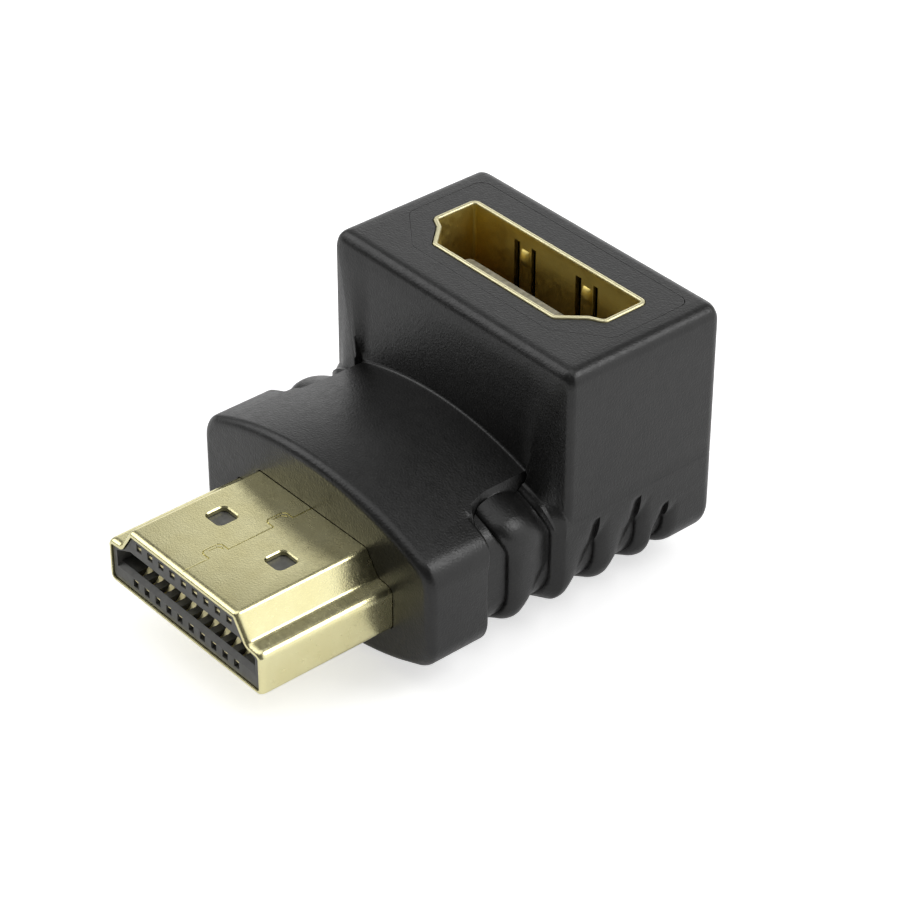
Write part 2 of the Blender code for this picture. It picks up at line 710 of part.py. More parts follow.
def build_plug_shell(finish):
    """The folded plug shell with its rolled tip, seam and locking holes."""
    roll = [TIP_ROLL * step for step in round_steps(2)]
    outside = [(y, round_drop(y, TIP_ROLL)) for y in roll]
    outside += [(SHELL_END, 0.0), (SHELL_END, SHEET), (0.0, SHEET)]
    rings = [along_plug(plug_outline(-inset), y) for y, inset in outside]
    shell = loft("plug_shell", rings, finish, ring_closed=True)
    path = [(0.0, -OVERRUN)]
    for start, length in zip(DOVETAIL_STARTS, DOVETAIL_LENGTHS):
        path += dovetail(start, length)
    path.append((0.0, SHELL_END + OVERRUN))
    top = AXIS_HEIGHT + PLUG_HEIGHT / 2
    boolean(shell, prism_z("cut_seam", thick_path(path, SEAM_GAP), top - 2 * SHEET, top + SHEET))
    holes = []
    for side in (-1, 1):
        for level in (-1, 1):
            x = side * HOLE_SPACING / 2
            wall = AXIS_HEIGHT + level * (PLUG_HEIGHT - SHEET) / 2
            holes.append(((x - HOLE_SIZE / 2, HOLE_START, wall - SHEET),
                          (x + HOLE_SIZE / 2, HOLE_START + HOLE_SIZE, wall + SHEET)))
    boolean(shell, boxes("cut_locking_holes", holes))
    return shell


def slot_ring(y, lead_in):
    """Section of the plug's slot; the lead-in lowers its floor at the face."""
    floor = SLOT_FLOOR - lead_in
    right = [(SLOT_HALF_WIDTH, floor), (SLOT_HALF_WIDTH, SLOT_SHOULDER),
             (SLOT_ROOF_HALF_WIDTH, SLOT_ROOF)]
    outline = right + [(-x, z) for x, z in reversed(right)]
    return [(x, y, AXIS_HEIGHT + z) for x, z in outline]


def channel_boxes(places, width, start, end, low, high):
    """One box for each contact of a row, at heights over the plug's middle plane."""
    return [((x - width / 2, start, AXIS_HEIGHT + low), (x + width / 2, end, AXIS_HEIGHT + high))
            for x in places]


def build_plug_insulator(finish):
    """The plug's insulator: a slot for the mating tongue and a channel for each contact."""
    outline = plug_outline(-SHEET - FIT)
    body = prism_y("plug_insulator", outline, FACE_RECESS, INSULATOR_END, finish)
    face_back = FACE_RECESS + FACE_WALL
    slot = [slot_ring(0.0, SLOT_LEAD_IN), slot_ring(FACE_RECESS, SLOT_LEAD_IN),
            slot_ring(face_back, 0.0), slot_ring(SLOT_DEPTH, 0.0)]
    boolean(body, loft("cut_slot", slot))
    narrow = row_places(NARROW_ROW)
    wide = row_places(WIDE_ROW)
    pockets = channel_boxes(narrow, CHANNEL_WIDTH, face_back, SPRING_LENGTH,
                            SLOT_ROOF - OVERLAP, HOLE_NARROW_HIGH)
    pockets += channel_boxes(wide, CHANNEL_WIDTH, face_back, SPRING_LENGTH, HOLE_WIDE_LOW,
                             SLOT_FLOOR + OVERLAP)
    boolean(body, boxes("cut_pockets", pockets))
    half_run = RUN_ROOM / 2
    runs_start = SPRING_LENGTH - OVERLAP
    runs_end = INSULATOR_END + OVERRUN
    runs = channel_boxes(narrow, RUN_WIDTH, runs_start, runs_end, UPPER_RUN - half_run,
                         UPPER_RUN + half_run)
    runs += channel_boxes(wide, RUN_WIDTH, runs_start, runs_end, LOWER_RUN - half_run,
                          LOWER_RUN + half_run)
    boolean(body, boxes("cut_runs", runs))
    holes_end = face_back + OVERLAP
    face = channel_boxes(narrow, FACE_HOLE_WIDTH, 0.0, holes_end, HOLE_NARROW_LOW,
                         HOLE_NARROW_HIGH - FACE_HOLE_STEP)
    face += channel_boxes(wide, FACE_HOLE_WIDTH, 0.0, holes_end, HOLE_WIDE_LOW + FACE_HOLE_STEP,
                          HOLE_WIDE_HIGH)
    boolean(body, boxes("cut_face_holes", face))
    return body


def plug_contact_path(tip, nose, run, side):
    """Path of a plug contact in y and z: tip, ramp to the nose, spring arm, run, board tail."""
    tail = side * (BOARD_THICKNESS / 2 + TAIL_SEAT + CONTACT_THICKNESS / 2)
    path = [(FACE_RECESS + TIP_SETBACK, tip), (RAMP_START, tip), (NOSE_START, nose),
            (NOSE_START + NOSE_LENGTH, nose), (SPRING_LENGTH - ARM_BEND, run),
            (INSULATOR_END + TAIL_BEND_START, run), (INSULATOR_END + TAIL_BEND_END, tail),
            (BOARD_FRONT + TAIL_LENGTH, tail)]
    return [(y, AXIS_HEIGHT + z) for y, z in path]


def build_plug_contacts(finish):
    """The plug's two rows of spring contacts."""
    rows = (("upper", NARROW_ROW, UPPER_TIP, UPPER_NOSE, UPPER_RUN, 1),
            ("lower", WIDE_ROW, LOWER_TIP, LOWER_NOSE, LOWER_RUN, -1))
    for label, count, tip, nose, run, side in rows:
        path = plug_contact_path(tip, nose, run, side)
        for i, x in enumerate(row_places(count)):
            name = "plug_contact_%s_%02d" % (label, i + 1)
            loft(name, strip_rings(path, CONTACT_THICKNESS, x, CONTACT_WIDTH), finish)


def port_rows():
    """Rows (label, contact count, direction from the tongue's middle) of the port."""
    return (("front", NARROW_ROW, -1), ("back", WIDE_ROW, 1))


def port_contact_y(side):
    """Middle of a port contact's thickness, seated in its groove in the tongue."""
    floor = TONGUE_THICKNESS / 2 - GROOVE_DEPTH
    return TONGUE_Y + side * (floor + FIT + PORT_CONTACT_THICKNESS / 2)


def leg_places():
    """Middles (x, y) of the port shell's four legs."""
    x = PORT_OPENING_WIDTH / 2 + SHEET / 2
    middle = PORT_Y + LEG_SPACING / 2
    return [(side * x, middle + end * LEG_SPACING / 2) for side in (-1, 1) for end in (-1, 1)]


def build_board(finish):
    """The small circuit board with a hole for each pin and leg of the port."""
    board = prism_z("circuit_board", board_outline(0.0), BOARD_BOTTOM, BOARD_TOP, finish)
    mesh_data = bmesh.new()
    for _, count, side in port_rows():
        for x in row_places(count):
            drill = bmesh.ops.create_cone(mesh_data, cap_ends=True, segments=8,
                                          radius1=PIN_HOLE / 2 * MM, radius2=PIN_HOLE / 2 * MM,
                                          depth=(BOARD_THICKNESS + 2 * OVERRUN) * MM)["verts"]
            bmesh.ops.translate(mesh_data, verts=drill,
                                vec=scene_point(x, port_contact_y(side), AXIS_HEIGHT))
    boolean(board, add_object("cut_pin_holes", mesh_data))
    slots = []
    for x, y in leg_places():
        half_x = SHEET / 2 + LEG_ROOM
        half_y = LEG_WIDTH / 2 + LEG_ROOM
        slots.append(((x - half_x, y - half_y, BOARD_BOTTOM - OVERRUN),
                      (x + half_x, y + half_y, BOARD_TOP + OVERRUN)))
    boolean(board, boxes("cut_leg_slots", slots))
    return board


def finger_path(side):
    """Path in y and z of a spring finger that bulges into the opening from its wall."""
    wall = PORT_Y + side * (PORT_HALF_DEPTH - SHEET / 2)
    inward = wall - side * FINGER_REACH
    top = PORT_RIM - FINGER_TOP
    return [(wall, top + FINGER_ANCHOR), (wall, top - FINGER_BEND_START),
            (inward, top - FINGER_BUMP_START), (inward, top - FINGER_BUMP_END),
            (wall, top - FINGER_BEND_END), (wall, top - FINGER_LENGTH - FINGER_ANCHOR)]


def build_port_shell(finish):
    """The folded port shell with its spring fingers and the legs that go through the board."""
    leg_end = BOARD_TOP - LEG_LENGTH
    rings = [along_port(port_outline(-inset), z) for z, inset in
             ((leg_end, 0.0), (PORT_RIM - RIM_ROLL, 0.0), (PORT_RIM, RIM_ROLL),
              (PORT_RIM, SHEET - RIM_ROLL / 2), (PORT_RIM - RIM_ROLL, SHEET), (leg_end, SHEET))]
    shell = loft("port_shell", rings, finish, ring_closed=True)
    edges = sorted({y for _, y in leg_places()})
    half = LEG_WIDTH / 2
    spans = [(PORT_Y - 2 * PORT_HALF_DEPTH, edges[0] - half), (edges[0] + half, edges[1] - half),
             (edges[1] + half, PORT_Y + 2 * PORT_HALF_DEPTH)]
    reach = PORT_HALF_WIDTH + OVERRUN
    boolean(shell, boxes("cut_legs", [((-reach, low, leg_end - OVERRUN),
                                       (reach, high, BOARD_TOP + FIT)) for low, high in spans]))
    windows = []
    fingers = bmesh.new()
    top = PORT_RIM - FINGER_TOP
    half_window = FINGER_WIDTH / 2 + FINGER_SLOT
    for side in (-1, 1):
        wall = PORT_Y + side * (PORT_HALF_DEPTH - SHEET / 2)
        for x in (-FINGER_SPACING / 2, FINGER_SPACING / 2):
            windows.append(((x - half_window, wall - SHEET, top - FINGER_LENGTH),
                            (x + half_window, wall + SHEET, top)))
            add_rings(fingers, strip_rings(finger_path(side), FINGER_THICKNESS, x, FINGER_WIDTH))
    boolean(shell, boxes("cut_finger_windows", windows))
    boolean(shell, add_object("join_fingers", fingers), "UNION")
    return shell


def build_port_insulator(finish):
    """The port's insulator: a base inside the shell and the tongue that stands on it."""
    low = BOARD_TOP + FIT
    outline = port_outline(-SHEET - FIT)
    base = loft("port_insulator", [along_port(outline, z) for z in (low, low + BASE_HEIGHT)], finish)
    tongue_plan = [Vector((x, TONGUE_Y + y)) for x, y in
                   rounded_box_outline(TONGUE_HALF_WIDTH, TONGUE_THICKNESS / 2, TONGUE_ROUND, 2)]
    boolean(base, prism_z("join_tongue", tongue_plan, low + BASE_HEIGHT / 2, TONGUE_TOP), "UNION")
    grooves = []
    half = PORT_CONTACT_WIDTH / 2 + FIT
    floor = TONGUE_THICKNESS / 2 - GROOVE_DEPTH
    mouth = floor + PORT_CONTACT_THICKNESS + OVERLAP
    for _, count, side in port_rows():
        near, far = sorted((TONGUE_Y + side * floor, TONGUE_Y + side * mouth))
        for x in row_places(count):
            grooves.append(((x - half, near, low - OVERRUN),
                            (x + half, far, TONGUE_TOP - PORT_CONTACT_DROP + FIT)))
    boolean(base, boxes("cut_grooves", grooves))
    return base


def build_port_contacts(finish):
    """The port's two rows of contacts, flat on the tongue and down through the board."""
    for label, count, side in port_rows():
        y = port_contact_y(side)
        path = [(y, TONGUE_TOP - PORT_CONTACT_DROP), (y, BOARD_BOTTOM - PIN_LENGTH)]
        for i, x in enumerate(row_places(count)):
            name = "port_contact_%s_%02d" % (label, i + 1)
            loft(name, strip_rings(path, PORT_CONTACT_THICKNESS, x, PORT_CONTACT_WIDTH), finish)


def main():
    """Build every piece of the adapter."""
    moulding = material("moulding", (0.045, 0.045, 0.043), 0.5)
    inner = material("inner_moulding", (0.04, 0.04, 0.039), 0.6)
    gilt = material("gilt_shell", (0.83, 0.74, 0.42), 0.25, 1.0)
    plastic = material("insulator_plastic", (0.06, 0.06, 0.055), 0.45)
    ivory = material("port_plastic", (0.55, 0.53, 0.45), 0.5)
    contact = material("gilt_contact", (0.9, 0.78, 0.45), 0.22, 1.0)
    laminate = material("board_laminate", (0.03, 0.16, 0.07), 0.5)
    build_overmould(moulding)
    build_inner_mould(inner)
    build_plug_shell(gilt)
    build_plug_insulator(plastic)
    build_plug_contacts(contact)
    build_board(laminate)
    build_port_shell(gilt)
    build_port_insulator(ivory)
    build_port_contacts(contact)


main()
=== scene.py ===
"""The looks of the right angle video adapter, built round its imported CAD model.

Sizes are in millimetres at the part's design places: x across, y from the plug's tip to the
back of the body, z up from the flat underside. scene_point turns them to metres round the
part's origin, which is the middle of the underside.
"""
from math import acos, asin, cos, pi, radians, sin, sqrt

import bmesh
import bpy
from mathutils import Matrix, Vector


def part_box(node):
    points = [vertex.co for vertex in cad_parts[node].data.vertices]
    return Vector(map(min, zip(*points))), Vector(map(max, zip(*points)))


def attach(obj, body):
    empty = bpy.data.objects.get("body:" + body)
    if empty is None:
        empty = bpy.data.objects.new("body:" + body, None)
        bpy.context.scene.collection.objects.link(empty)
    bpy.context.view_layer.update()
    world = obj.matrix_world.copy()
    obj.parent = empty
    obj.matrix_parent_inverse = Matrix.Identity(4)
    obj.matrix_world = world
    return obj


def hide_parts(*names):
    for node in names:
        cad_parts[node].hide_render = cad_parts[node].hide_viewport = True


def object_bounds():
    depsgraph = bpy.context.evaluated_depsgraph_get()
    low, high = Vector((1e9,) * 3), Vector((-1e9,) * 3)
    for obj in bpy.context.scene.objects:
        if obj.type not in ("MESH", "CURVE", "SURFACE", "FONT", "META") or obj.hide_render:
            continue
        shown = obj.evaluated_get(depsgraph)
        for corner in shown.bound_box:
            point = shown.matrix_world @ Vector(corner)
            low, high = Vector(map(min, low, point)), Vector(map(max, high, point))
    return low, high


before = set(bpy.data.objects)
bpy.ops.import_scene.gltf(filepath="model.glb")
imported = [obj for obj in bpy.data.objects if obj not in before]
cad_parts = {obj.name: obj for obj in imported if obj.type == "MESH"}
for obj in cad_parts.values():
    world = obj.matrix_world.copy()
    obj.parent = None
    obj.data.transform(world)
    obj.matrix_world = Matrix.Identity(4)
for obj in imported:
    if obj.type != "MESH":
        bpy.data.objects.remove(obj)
CAD_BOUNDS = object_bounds()

MM = 0.001
LENGTH = (CAD_BOUNDS[1][1] - CAD_BOUNDS[0][1]) / MM


def design_box(node):
    """Lowest and highest corner of a CAD node in design millimetres."""
    low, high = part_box(node)
    shift = Vector((0.0, LENGTH / 2, 0.0))
    return low / MM + shift, high / MM + shift


BODY_LOW, BODY_HIGH = design_box("overmould")
INNER_LOW, INNER_HIGH = design_box("inner_mould")
PLUG_LOW, PLUG_HIGH = design_box("plug_shell")
PORT_LOW, PORT_HIGH = design_box("port_shell")
BOARD_HIGH = design_box("circuit_board")[1]

# Places that the frame gives
HALF_WIDTH = BODY_HIGH.x
BODY_FRONT = BODY_LOW.y
BODY_BACK = BODY_HIGH.y
TOWER_HEIGHT = BODY_HIGH.z
AXIS_HEIGHT = (PLUG_LOW.z + PLUG_HIGH.z) / 2
PLUG_HALF_WIDTH = PLUG_HIGH.x
PLUG_HALF_HEIGHT = (PLUG_HIGH.z - PLUG_LOW.z) / 2
SHELL_END = PLUG_HIGH.y
PORT_HALF_WIDTH = PORT_HIGH.x
PORT_HALF_DEPTH = (PORT_HIGH.y - PORT_LOW.y) / 2
PORT_Y = (PORT_LOW.y + PORT_HIGH.y) / 2
PORT_RIM = PORT_HIGH.z
BOARD_TOP = BOARD_HIGH.z

# Gaps and sheet that the CAD model gives its pieces
FIT = 0.05
TIGHT_FIT = 0.012
PARTING_DEPTH = 0.5
SHEET = 0.3

# Lower body: arched top, rounded corners, head, neck and tower
CROWN_HEIGHT = 5.44
CROWN_RADIUS = 22.6
CORNER_RADIUS = 1.7
FRONT_ROUND = 0.6
BACK_ROUND = 0.96
HEAD_LENGTH = 4.42
HEAD_BACK = BODY_FRONT + HEAD_LENGTH
HEAD_STEP_LENGTH = 0.4
HEAD_LEAN = 0.3
TOWER_START = 9.81
TOWER_FRONT = BODY_FRONT + TOWER_START
NECK_INSET = 0.2
PANEL_SIDE_ROOM = 2.85
PANEL_HALF_WIDTH = HALF_WIDTH - PANEL_SIDE_ROOM
PANEL_FILLET = 2.2
FLARE_SIDE_ROOM = 2.05
PANEL_FLARE_END = HALF_WIDTH - FLARE_SIDE_ROOM
SHOULDER_STEP = 0.24
STEP_HALF = 0.14
CREASE_DEPTH = 0.16
TOWER_LEAN = 0.35
TOWER_BACK_LEAN = 0.08
TOWER_SIDE_ROUND = 0.5
TOWER_BACK_ROUND = 0.8
TOWER_TOP_ROUND = 0.8
WALL_FILLET = 0.15

# Grip ribs
FIRST_RIB = 6.07
RIB_PITCH = 3.15
EVEN_RIBS = 4
LAST_RIB_PITCH = 2.2
RIB_WALLS = [BODY_FRONT + FIRST_RIB + RIB_PITCH * i for i in range(EVEN_RIBS)]
RIB_WALLS.append(RIB_WALLS[-1] + LAST_RIB_PITCH)
RIB_WALL_LENGTH = 0.02
RIB_DEPTH = 0.55
RIB_LIP = 0.85
RIB_HIGH_LIP = 1.3
RIB_FLOOR = 0.2
RIB_LOW_FLOOR = 1.3
RIB_CHANGE_START = 0.5
RIB_CHANGE_END = 2.5
RIB_FALL_LEAST = 0.5
RIB_TOP = 1.35
RIB_FADE = 2.0
LAST_RIB_TOP = -0.1
LAST_RIB_FADE = 1.5
RIB_SLIT = (0.15, 0.8)
RIB_LEAN = 0.6
RIB_LOWER_LEAN = 0.3
RIB_LEAN_LENGTH = 1.5
RIB_LEAN_START = 1.2
RIB_LEAN_END = 3.2

# Openings in the moulding
INNER_TOP_HALF_WIDTH = INNER_HIGH.x
INNER_TOP_SETBACK = 2.28
INNER_TOP_FRONT = TOWER_FRONT + INNER_TOP_SETBACK
INNER_TOP_BACK = INNER_HIGH.y
INNER_TOP_SLOPE_WIDTH = 3.0
INNER_TOP_SLOPE_LENGTH = 2.25
INNER_TOP_ROUND = 0.7
INNER_TOP_START = 3.6
INNER_BLOCK_SETBACK = 0.5
INNER_BLOCK_SIDE = 0.95
INNER_BLOCK_RISE = 0.525
INNER_BLOCK_BACK = INNER_TOP_BACK - INNER_BLOCK_SETBACK
INNER_BLOCK_FRONT = INNER_LOW.y
INNER_BLOCK_HALF_WIDTH = PLUG_HALF_WIDTH + INNER_BLOCK_SIDE
INNER_BLOCK_HALF_HEIGHT = PLUG_HALF_HEIGHT + INNER_BLOCK_RISE
INNER_BLOCK_ROUND = 2.0

# Plug shell
PLUG_SHOULDER_HALF_WIDTH = 5.75
PLUG_SHOULDER_RISE = 0.66
PLUG_LEDGE_RISE = 0.1
PLUG_TOP_HALF_WIDTH = 4.77
PLUG_ROUND = 0.5
PLUG_SHOULDER_ROUND = 0.35
ROLL_LENGTH = 0.42
ROLL_DROP = 0.2
HOLE_SPACING = 5.3
HOLE_SIZE = 1.4
HOLE_START = 4.08
HOLE_ROUND = 0.32
SEAM_GAP = 0.02
TAB_EDGE_INSET = 0.19
DOVETAIL_REACH = 0.75
DOVETAIL_STARTS = (1.9, 6.3)
DOVETAIL_LENGTHS = (1.3, 1.35)
DOVETAIL_CORNER = 0.2
BEVEL_WIDTH = 0.07
BEVEL_DEPTH = 0.07

# Port shell
PORT_SHOULDER_HALF_WIDTH = 6.4
PORT_SHOULDER_RISE = 0.7
PORT_LEDGE_RISE = 0.45
PORT_TOP_HALF_WIDTH = 5.1
RIM_ROLL = 0.12
FINGER_SPACING = 5.2
FINGER_WIDTH = 1.0
FINGER_SLOT = 0.42
FINGER_TOP = 0.87
FINGER_LENGTH = 6.2
FINGER_REACH = 0.26
FINGER_THICKNESS = 0.2
PILLOW_START = 0.45
PILLOW_END = 1.45
PILLOW_WIDTH = 0.85
PILLOW_FULLNESS = 0.7
PILLOW_SQUARENESS = 4
LEG_LENGTH = 1.4
LEG_WIDTH = 0.8
LEG_SPACING = 1.4

# How finely rounds are cut
PANEL_STEPS = 16
STEP_POINTS = 8
CORNER_POINTS = 14
SIDE_POINTS = 24
SHOULDER_POINTS = 8
NARROWEST_ARC = 0.12
LIP_POINTS = 10
ROUND_POINTS = 8
FLARE_POINTS = 6
TOWER_FRONT_POINTS = 10
BACK_POINTS = 12
FOOT_POINTS = 5
WALL_CLIMBS = (0.1, 0.25, 0.4, 0.55, 0.7, 0.85)
WALL_SPREAD = 0.8
HOLE_POINTS = 6
FINGER_POINTS = 12
LEAST_STATION_GAP = 0.008
SHARPEST_TURN = 0.5
MOULDING_SHARP = 35
SHELL_SHARP = 30
OVERRUN = 1.0

# Finishes: dark and light colour
MOULDING_COLOURS = ((0.006, 0.006, 0.0058), (0.011, 0.011, 0.0105))
INNER_COLOURS = ((0.006, 0.006, 0.0058), (0.01, 0.01, 0.0095))
GILT_COLOURS = ((0.79, 0.73, 0.4), (0.84, 0.79, 0.46))
CONTACT_COLOURS = ((0.92, 0.82, 0.46), (0.96, 0.88, 0.54))
INSULATOR_COLOURS = ((0.09, 0.09, 0.082), (0.13, 0.13, 0.12))
IVORY_COLOURS = ((0.22, 0.21, 0.16), (0.42, 0.4, 0.33))
BOARD_COLOURS = ((0.02, 0.12, 0.05), (0.03, 0.17, 0.07))

# Gilt inside the port, with painted shade that darkens it to brown deeper below the rim: depth below the
# rim, colour
PORT_COLOUR = (0.5, 0.38, 0.12)
PORT_SHADE_DEPTHS = (
    (7.0, (0.5, 0.3, 0.09)), (3.0, (0.68, 0.51, 0.15)),
    (0.2, (0.72, 0.6, 0.2)), (0.04, (0.76, 0.71, 0.46)),
)

# Floor: half width in metres, colour, and what it adds to the rays that see it
FLOOR_REACH = 1.5
FLOOR_COLOUR = (0.85, 0.85, 0.85, 1.0)
FLOOR_SEEN = 0.6
FLOOR_REFLECTED = 0.2

# Studio panels: direction, angle of full light, angle where it ends, level
ROOM_LEVEL = 0.12
STUDIO_PANELS = (
    ((-0.72, 0.69, 0.1), 8, 34, 1.3),
    ((-0.2, 0.9, 0.3), 10, 34, 0.55),
    ((-0.62, 0.53, 0.58), 5, 12, 0.55),
    ((0.77, 0.53, 0.35), 18, 44, 1.05),
    ((-0.15, -0.05, 0.99), 16, 32, 1.2),
    ((-0.75, -0.3, 0.6), 12, 28, 2.1),
)

# Key lamp: direction, and distance, size and aim in metres
KEY_DIRECTION = (0.48, 0.45, 0.75)
KEY_DISTANCE = 0.45
KEY_SIZE = 0.22
KEY_POWER = 0.6
KEY_AIM = (0.0, 0.0, 0.008)

# Camera, placed from a design place in millimetres
CAMERA_AZIMUTH = radians(49.2849)
CAMERA_ELEVATION = radians(35.2152)
CAMERA_ROLL = radians(0.2373)
CAMERA_DISTANCE = 169.1477
CAMERA_SIDE = 5.5114
CAMERA_RISE = -1.0078
CAMERA_AIM = Vector((0.0, 12.0, 11.175))
CAMERA_CLIP = 0.01
FOCAL_PIXELS = 3072.95
IMAGE_WIDTH = 907
SENSOR = 36.0


def scene_point(x, y, z):
    """A design place in millimetres as a point of the scene in metres."""
    return Vector((x, y - LENGTH / 2, z)) * MM


# Mesh helpers

def add_object(name, mesh_data):
    """Link a finished bmesh to the scene."""
    bmesh.ops.recalc_face_normals(mesh_data, faces=mesh_data.faces)
    mesh = bpy.data.meshes.new(name)
    mesh_data.to_mesh(mesh)
    mesh_data.free()
    made = bpy.data.objects.new(name, mesh)
    bpy.context.scene.collection.objects.link(made)
    return made


def add_rings(mesh_data, rings, ring_closed=False):
    """Skin a row of outlines with equal point counts, with caps unless the row is a loop."""
    rows = [[mesh_data.verts.new(scene_point(*p)) for p in ring] for ring in rings]
    pairs = list(zip(rows, rows[1:]))
    if ring_closed:
        pairs.append((rows[-1], rows[0]))
    for low, high in pairs:
        for i in range(len(low)):
            j = (i + 1) % len(low)
            mesh_data.faces.new((low[i], low[j], high[j], high[i]))
    if not ring_closed:
        mesh_data.faces.new(rows[0])
        mesh_data.faces.new(rows[-1])


def loft(name, rings, ring_closed=False):
    """One solid skinned over a row of outlines."""
    mesh_data = bmesh.new()
    add_rings(mesh_data, rings, ring_closed)
    return add_object(name, mesh_data)


def boxes(name, corners):
    """Separate boxes in one object, each from its lowest and highest corner."""
    mesh_data = bmesh.new()
    for low, high in corners:
        near = scene_point(*low)
        far = scene_point(*high)
        cube = bmesh.ops.create_cube(mesh_data, size=1.0)["verts"]
        bmesh.ops.scale(mesh_data, vec=far - near, verts=cube)
        bmesh.ops.translate(mesh_data, vec=(far + near) / 2, verts=cube)
    return add_object(name, mesh_data)


def carve(target, cutter, operation="DIFFERENCE"):
    """Cut or join one solid with another, which is used up."""
    step = target.modifiers.new(cutter.name, "BOOLEAN")
    step.object = cutter
    step.operation = operation
    step.solver = "EXACT"
    bpy.context.view_layer.update()
    graph = bpy.context.evaluated_depsgraph_get()
    target.data = bpy.data.meshes.new_from_object(target.evaluated_get(graph))
    target.modifiers.clear()
    bpy.data.objects.remove(cutter)


def smooth(piece, angle):
    """Smooth shading with sharp edges where faces meet at more than an angle in degrees."""
    piece.data.shade_smooth()
    piece.data.set_sharp_from_angle(angle=radians(angle))


def between(low, high, share):
    """A value or a point part of the way from one to the other."""
    if isinstance(low, tuple):
        return tuple(a + (b - a) * share for a, b in zip(low, high))
    return low + (high - low) * share


def ramp(value, start, end):
    """0 before start, 1 after end and even between."""
    return min(max((value - start) / (end - start), 0.0), 1.0)


def ease(share):
    """A share that starts and ends slowly."""
    return share * share * (3 - 2 * share)


def fillet(before, corner, after, radius, segments):
    """Points of a round that replaces one corner of an outline."""
    to_before = (Vector(before) - Vector(corner)).normalized()
    to_after = (Vector(after) - Vector(corner)).normalized()
    half = to_before.angle(to_after) / 2
    reach = radius / sin(half) * cos(half)
    start = Vector(corner) + to_before * reach
    end = Vector(corner) + to_after * reach
    centre = Vector(corner) + (to_before + to_after).normalized() * (radius / sin(half))
    points = []
    for i in range(segments + 1):
        arm = start.lerp(end, i / segments) - centre
        points.append(centre + arm.normalized() * radius)
    return points


def rounded(corners, segments=8):
    """A closed outline from corners (x, y, radius)."""
    outline = []
    count = len(corners)
    for i, (x, y, radius) in enumerate(corners):
        before = corners[i - 1][:2]
        after = corners[(i + 1) % count][:2]
        outline += fillet(before, (x, y), after, radius, segments)
    return outline


def offset(outline, distance):
    """An anticlockwise outline moved outwards (or inwards when negative) by one distance."""
    moved = []
    count = len(outline)
    for i, point in enumerate(outline):
        ahead = (outline[(i + 1) % count] - point).normalized()
        behind = (point - outline[i - 1]).normalized()
        normal = Vector((ahead.y + behind.y, -ahead.x - behind.x)).normalized()
        stretch = max(normal.dot(Vector((ahead.y, -ahead.x))), SHARPEST_TURN)
        moved.append(point + normal * (distance / stretch))
    return moved


def round_steps(count):
    """Shares of a quarter round's length at even angles, dense where it is steep."""
    return [1 - cos(pi / 2 * i / count) for i in range(count + 1)]


# The moulding's sections

def crown(x):
    """Height of the body's arched top over the plug's middle plane."""
    return CROWN_HEIGHT - CROWN_RADIUS + sqrt(CROWN_RADIUS ** 2 - x ** 2)


def corner_arc(half_width, drop, widest=pi / 2):
    """The round between the crown, lowered by a drop, and the side, from crown to side."""
    inner_radius = CROWN_RADIUS - CORNER_RADIUS
    centre_x = half_width - CORNER_RADIUS
    centre_z = CROWN_HEIGHT - drop - CROWN_RADIUS + sqrt(inner_radius ** 2 - centre_x ** 2)
    start = min(pi / 2 - asin(centre_x / inner_radius), widest)
    points = []
    for i in range(CORNER_POINTS + 1):
        angle = start * (1 - i / CORNER_POINTS)
        points.append((centre_x + CORNER_RADIUS * cos(angle), centre_z + CORNER_RADIUS * sin(angle)))
    return points


def rib_cut(y, height, reach):
    """Share of the rib depth cut at a place, where the floors keep only a share of their depth."""
    walls = [w for w in RIB_WALLS if w <= y]
    if not walls:
        return reach
    later = [w for w in RIB_WALLS if w > y]
    lip = between(RIB_LIP, RIB_HIGH_LIP, ramp(height, RIB_CHANGE_START, RIB_CHANGE_END))
    floor = between(RIB_FLOOR, RIB_LOW_FLOOR, ramp(-height, RIB_CHANGE_START, RIB_CHANGE_END))
    back = 1 - ramp(y, walls[-1], walls[-1] + lip)
    if back > 0:
        return min(1 - sqrt(1 - back * back), reach)
    if not later:
        return 0.0
    fall_end = max(later[0] - floor, walls[-1] + lip + RIB_FALL_LEAST)
    return ramp(y, walls[-1] + lip, fall_end) ** 2 * reach


def rib_reach(y, height):
    """How much of the floors' depth is left at a height: all on the neck, less on the tower."""
    last = y > RIB_WALLS[-2] + RIB_LIP
    top = LAST_RIB_TOP if last else RIB_TOP
    fade = ramp(-height, -top, -top + (LAST_RIB_FADE if last else RIB_FADE))
    ahead = [w - y for w in RIB_WALLS if w > y]
    close = 1 - ramp(ahead[0], *RIB_SLIT) if ahead else 0.0
    left = between(fade ** 2, sqrt(fade), close)
    return between(1.0, left, ramp(y, TOWER_FRONT - TOWER_LEAN, TOWER_FRONT))


def round_drop(distance, radius):
    """How far a rounded edge has still to rise at a distance in from its end."""
    missing = min(max(radius - distance, 0.0), radius)
    return radius - sqrt(radius ** 2 - missing ** 2)


def past_head(y):
    """0 on the head, 1 on the neck, with a round edge where the head ends."""
    share = ramp(y, HEAD_BACK - HEAD_STEP_LENGTH, HEAD_BACK)
    return 1 - sqrt(1 - share * share)


def panel_half_width(y):
    """Half of the raised panel's width, which flares into the head in a round."""
    flare = round_drop(y - HEAD_BACK, PANEL_FILLET)
    return min(PANEL_HALF_WIDTH + flare, PANEL_FLARE_END)


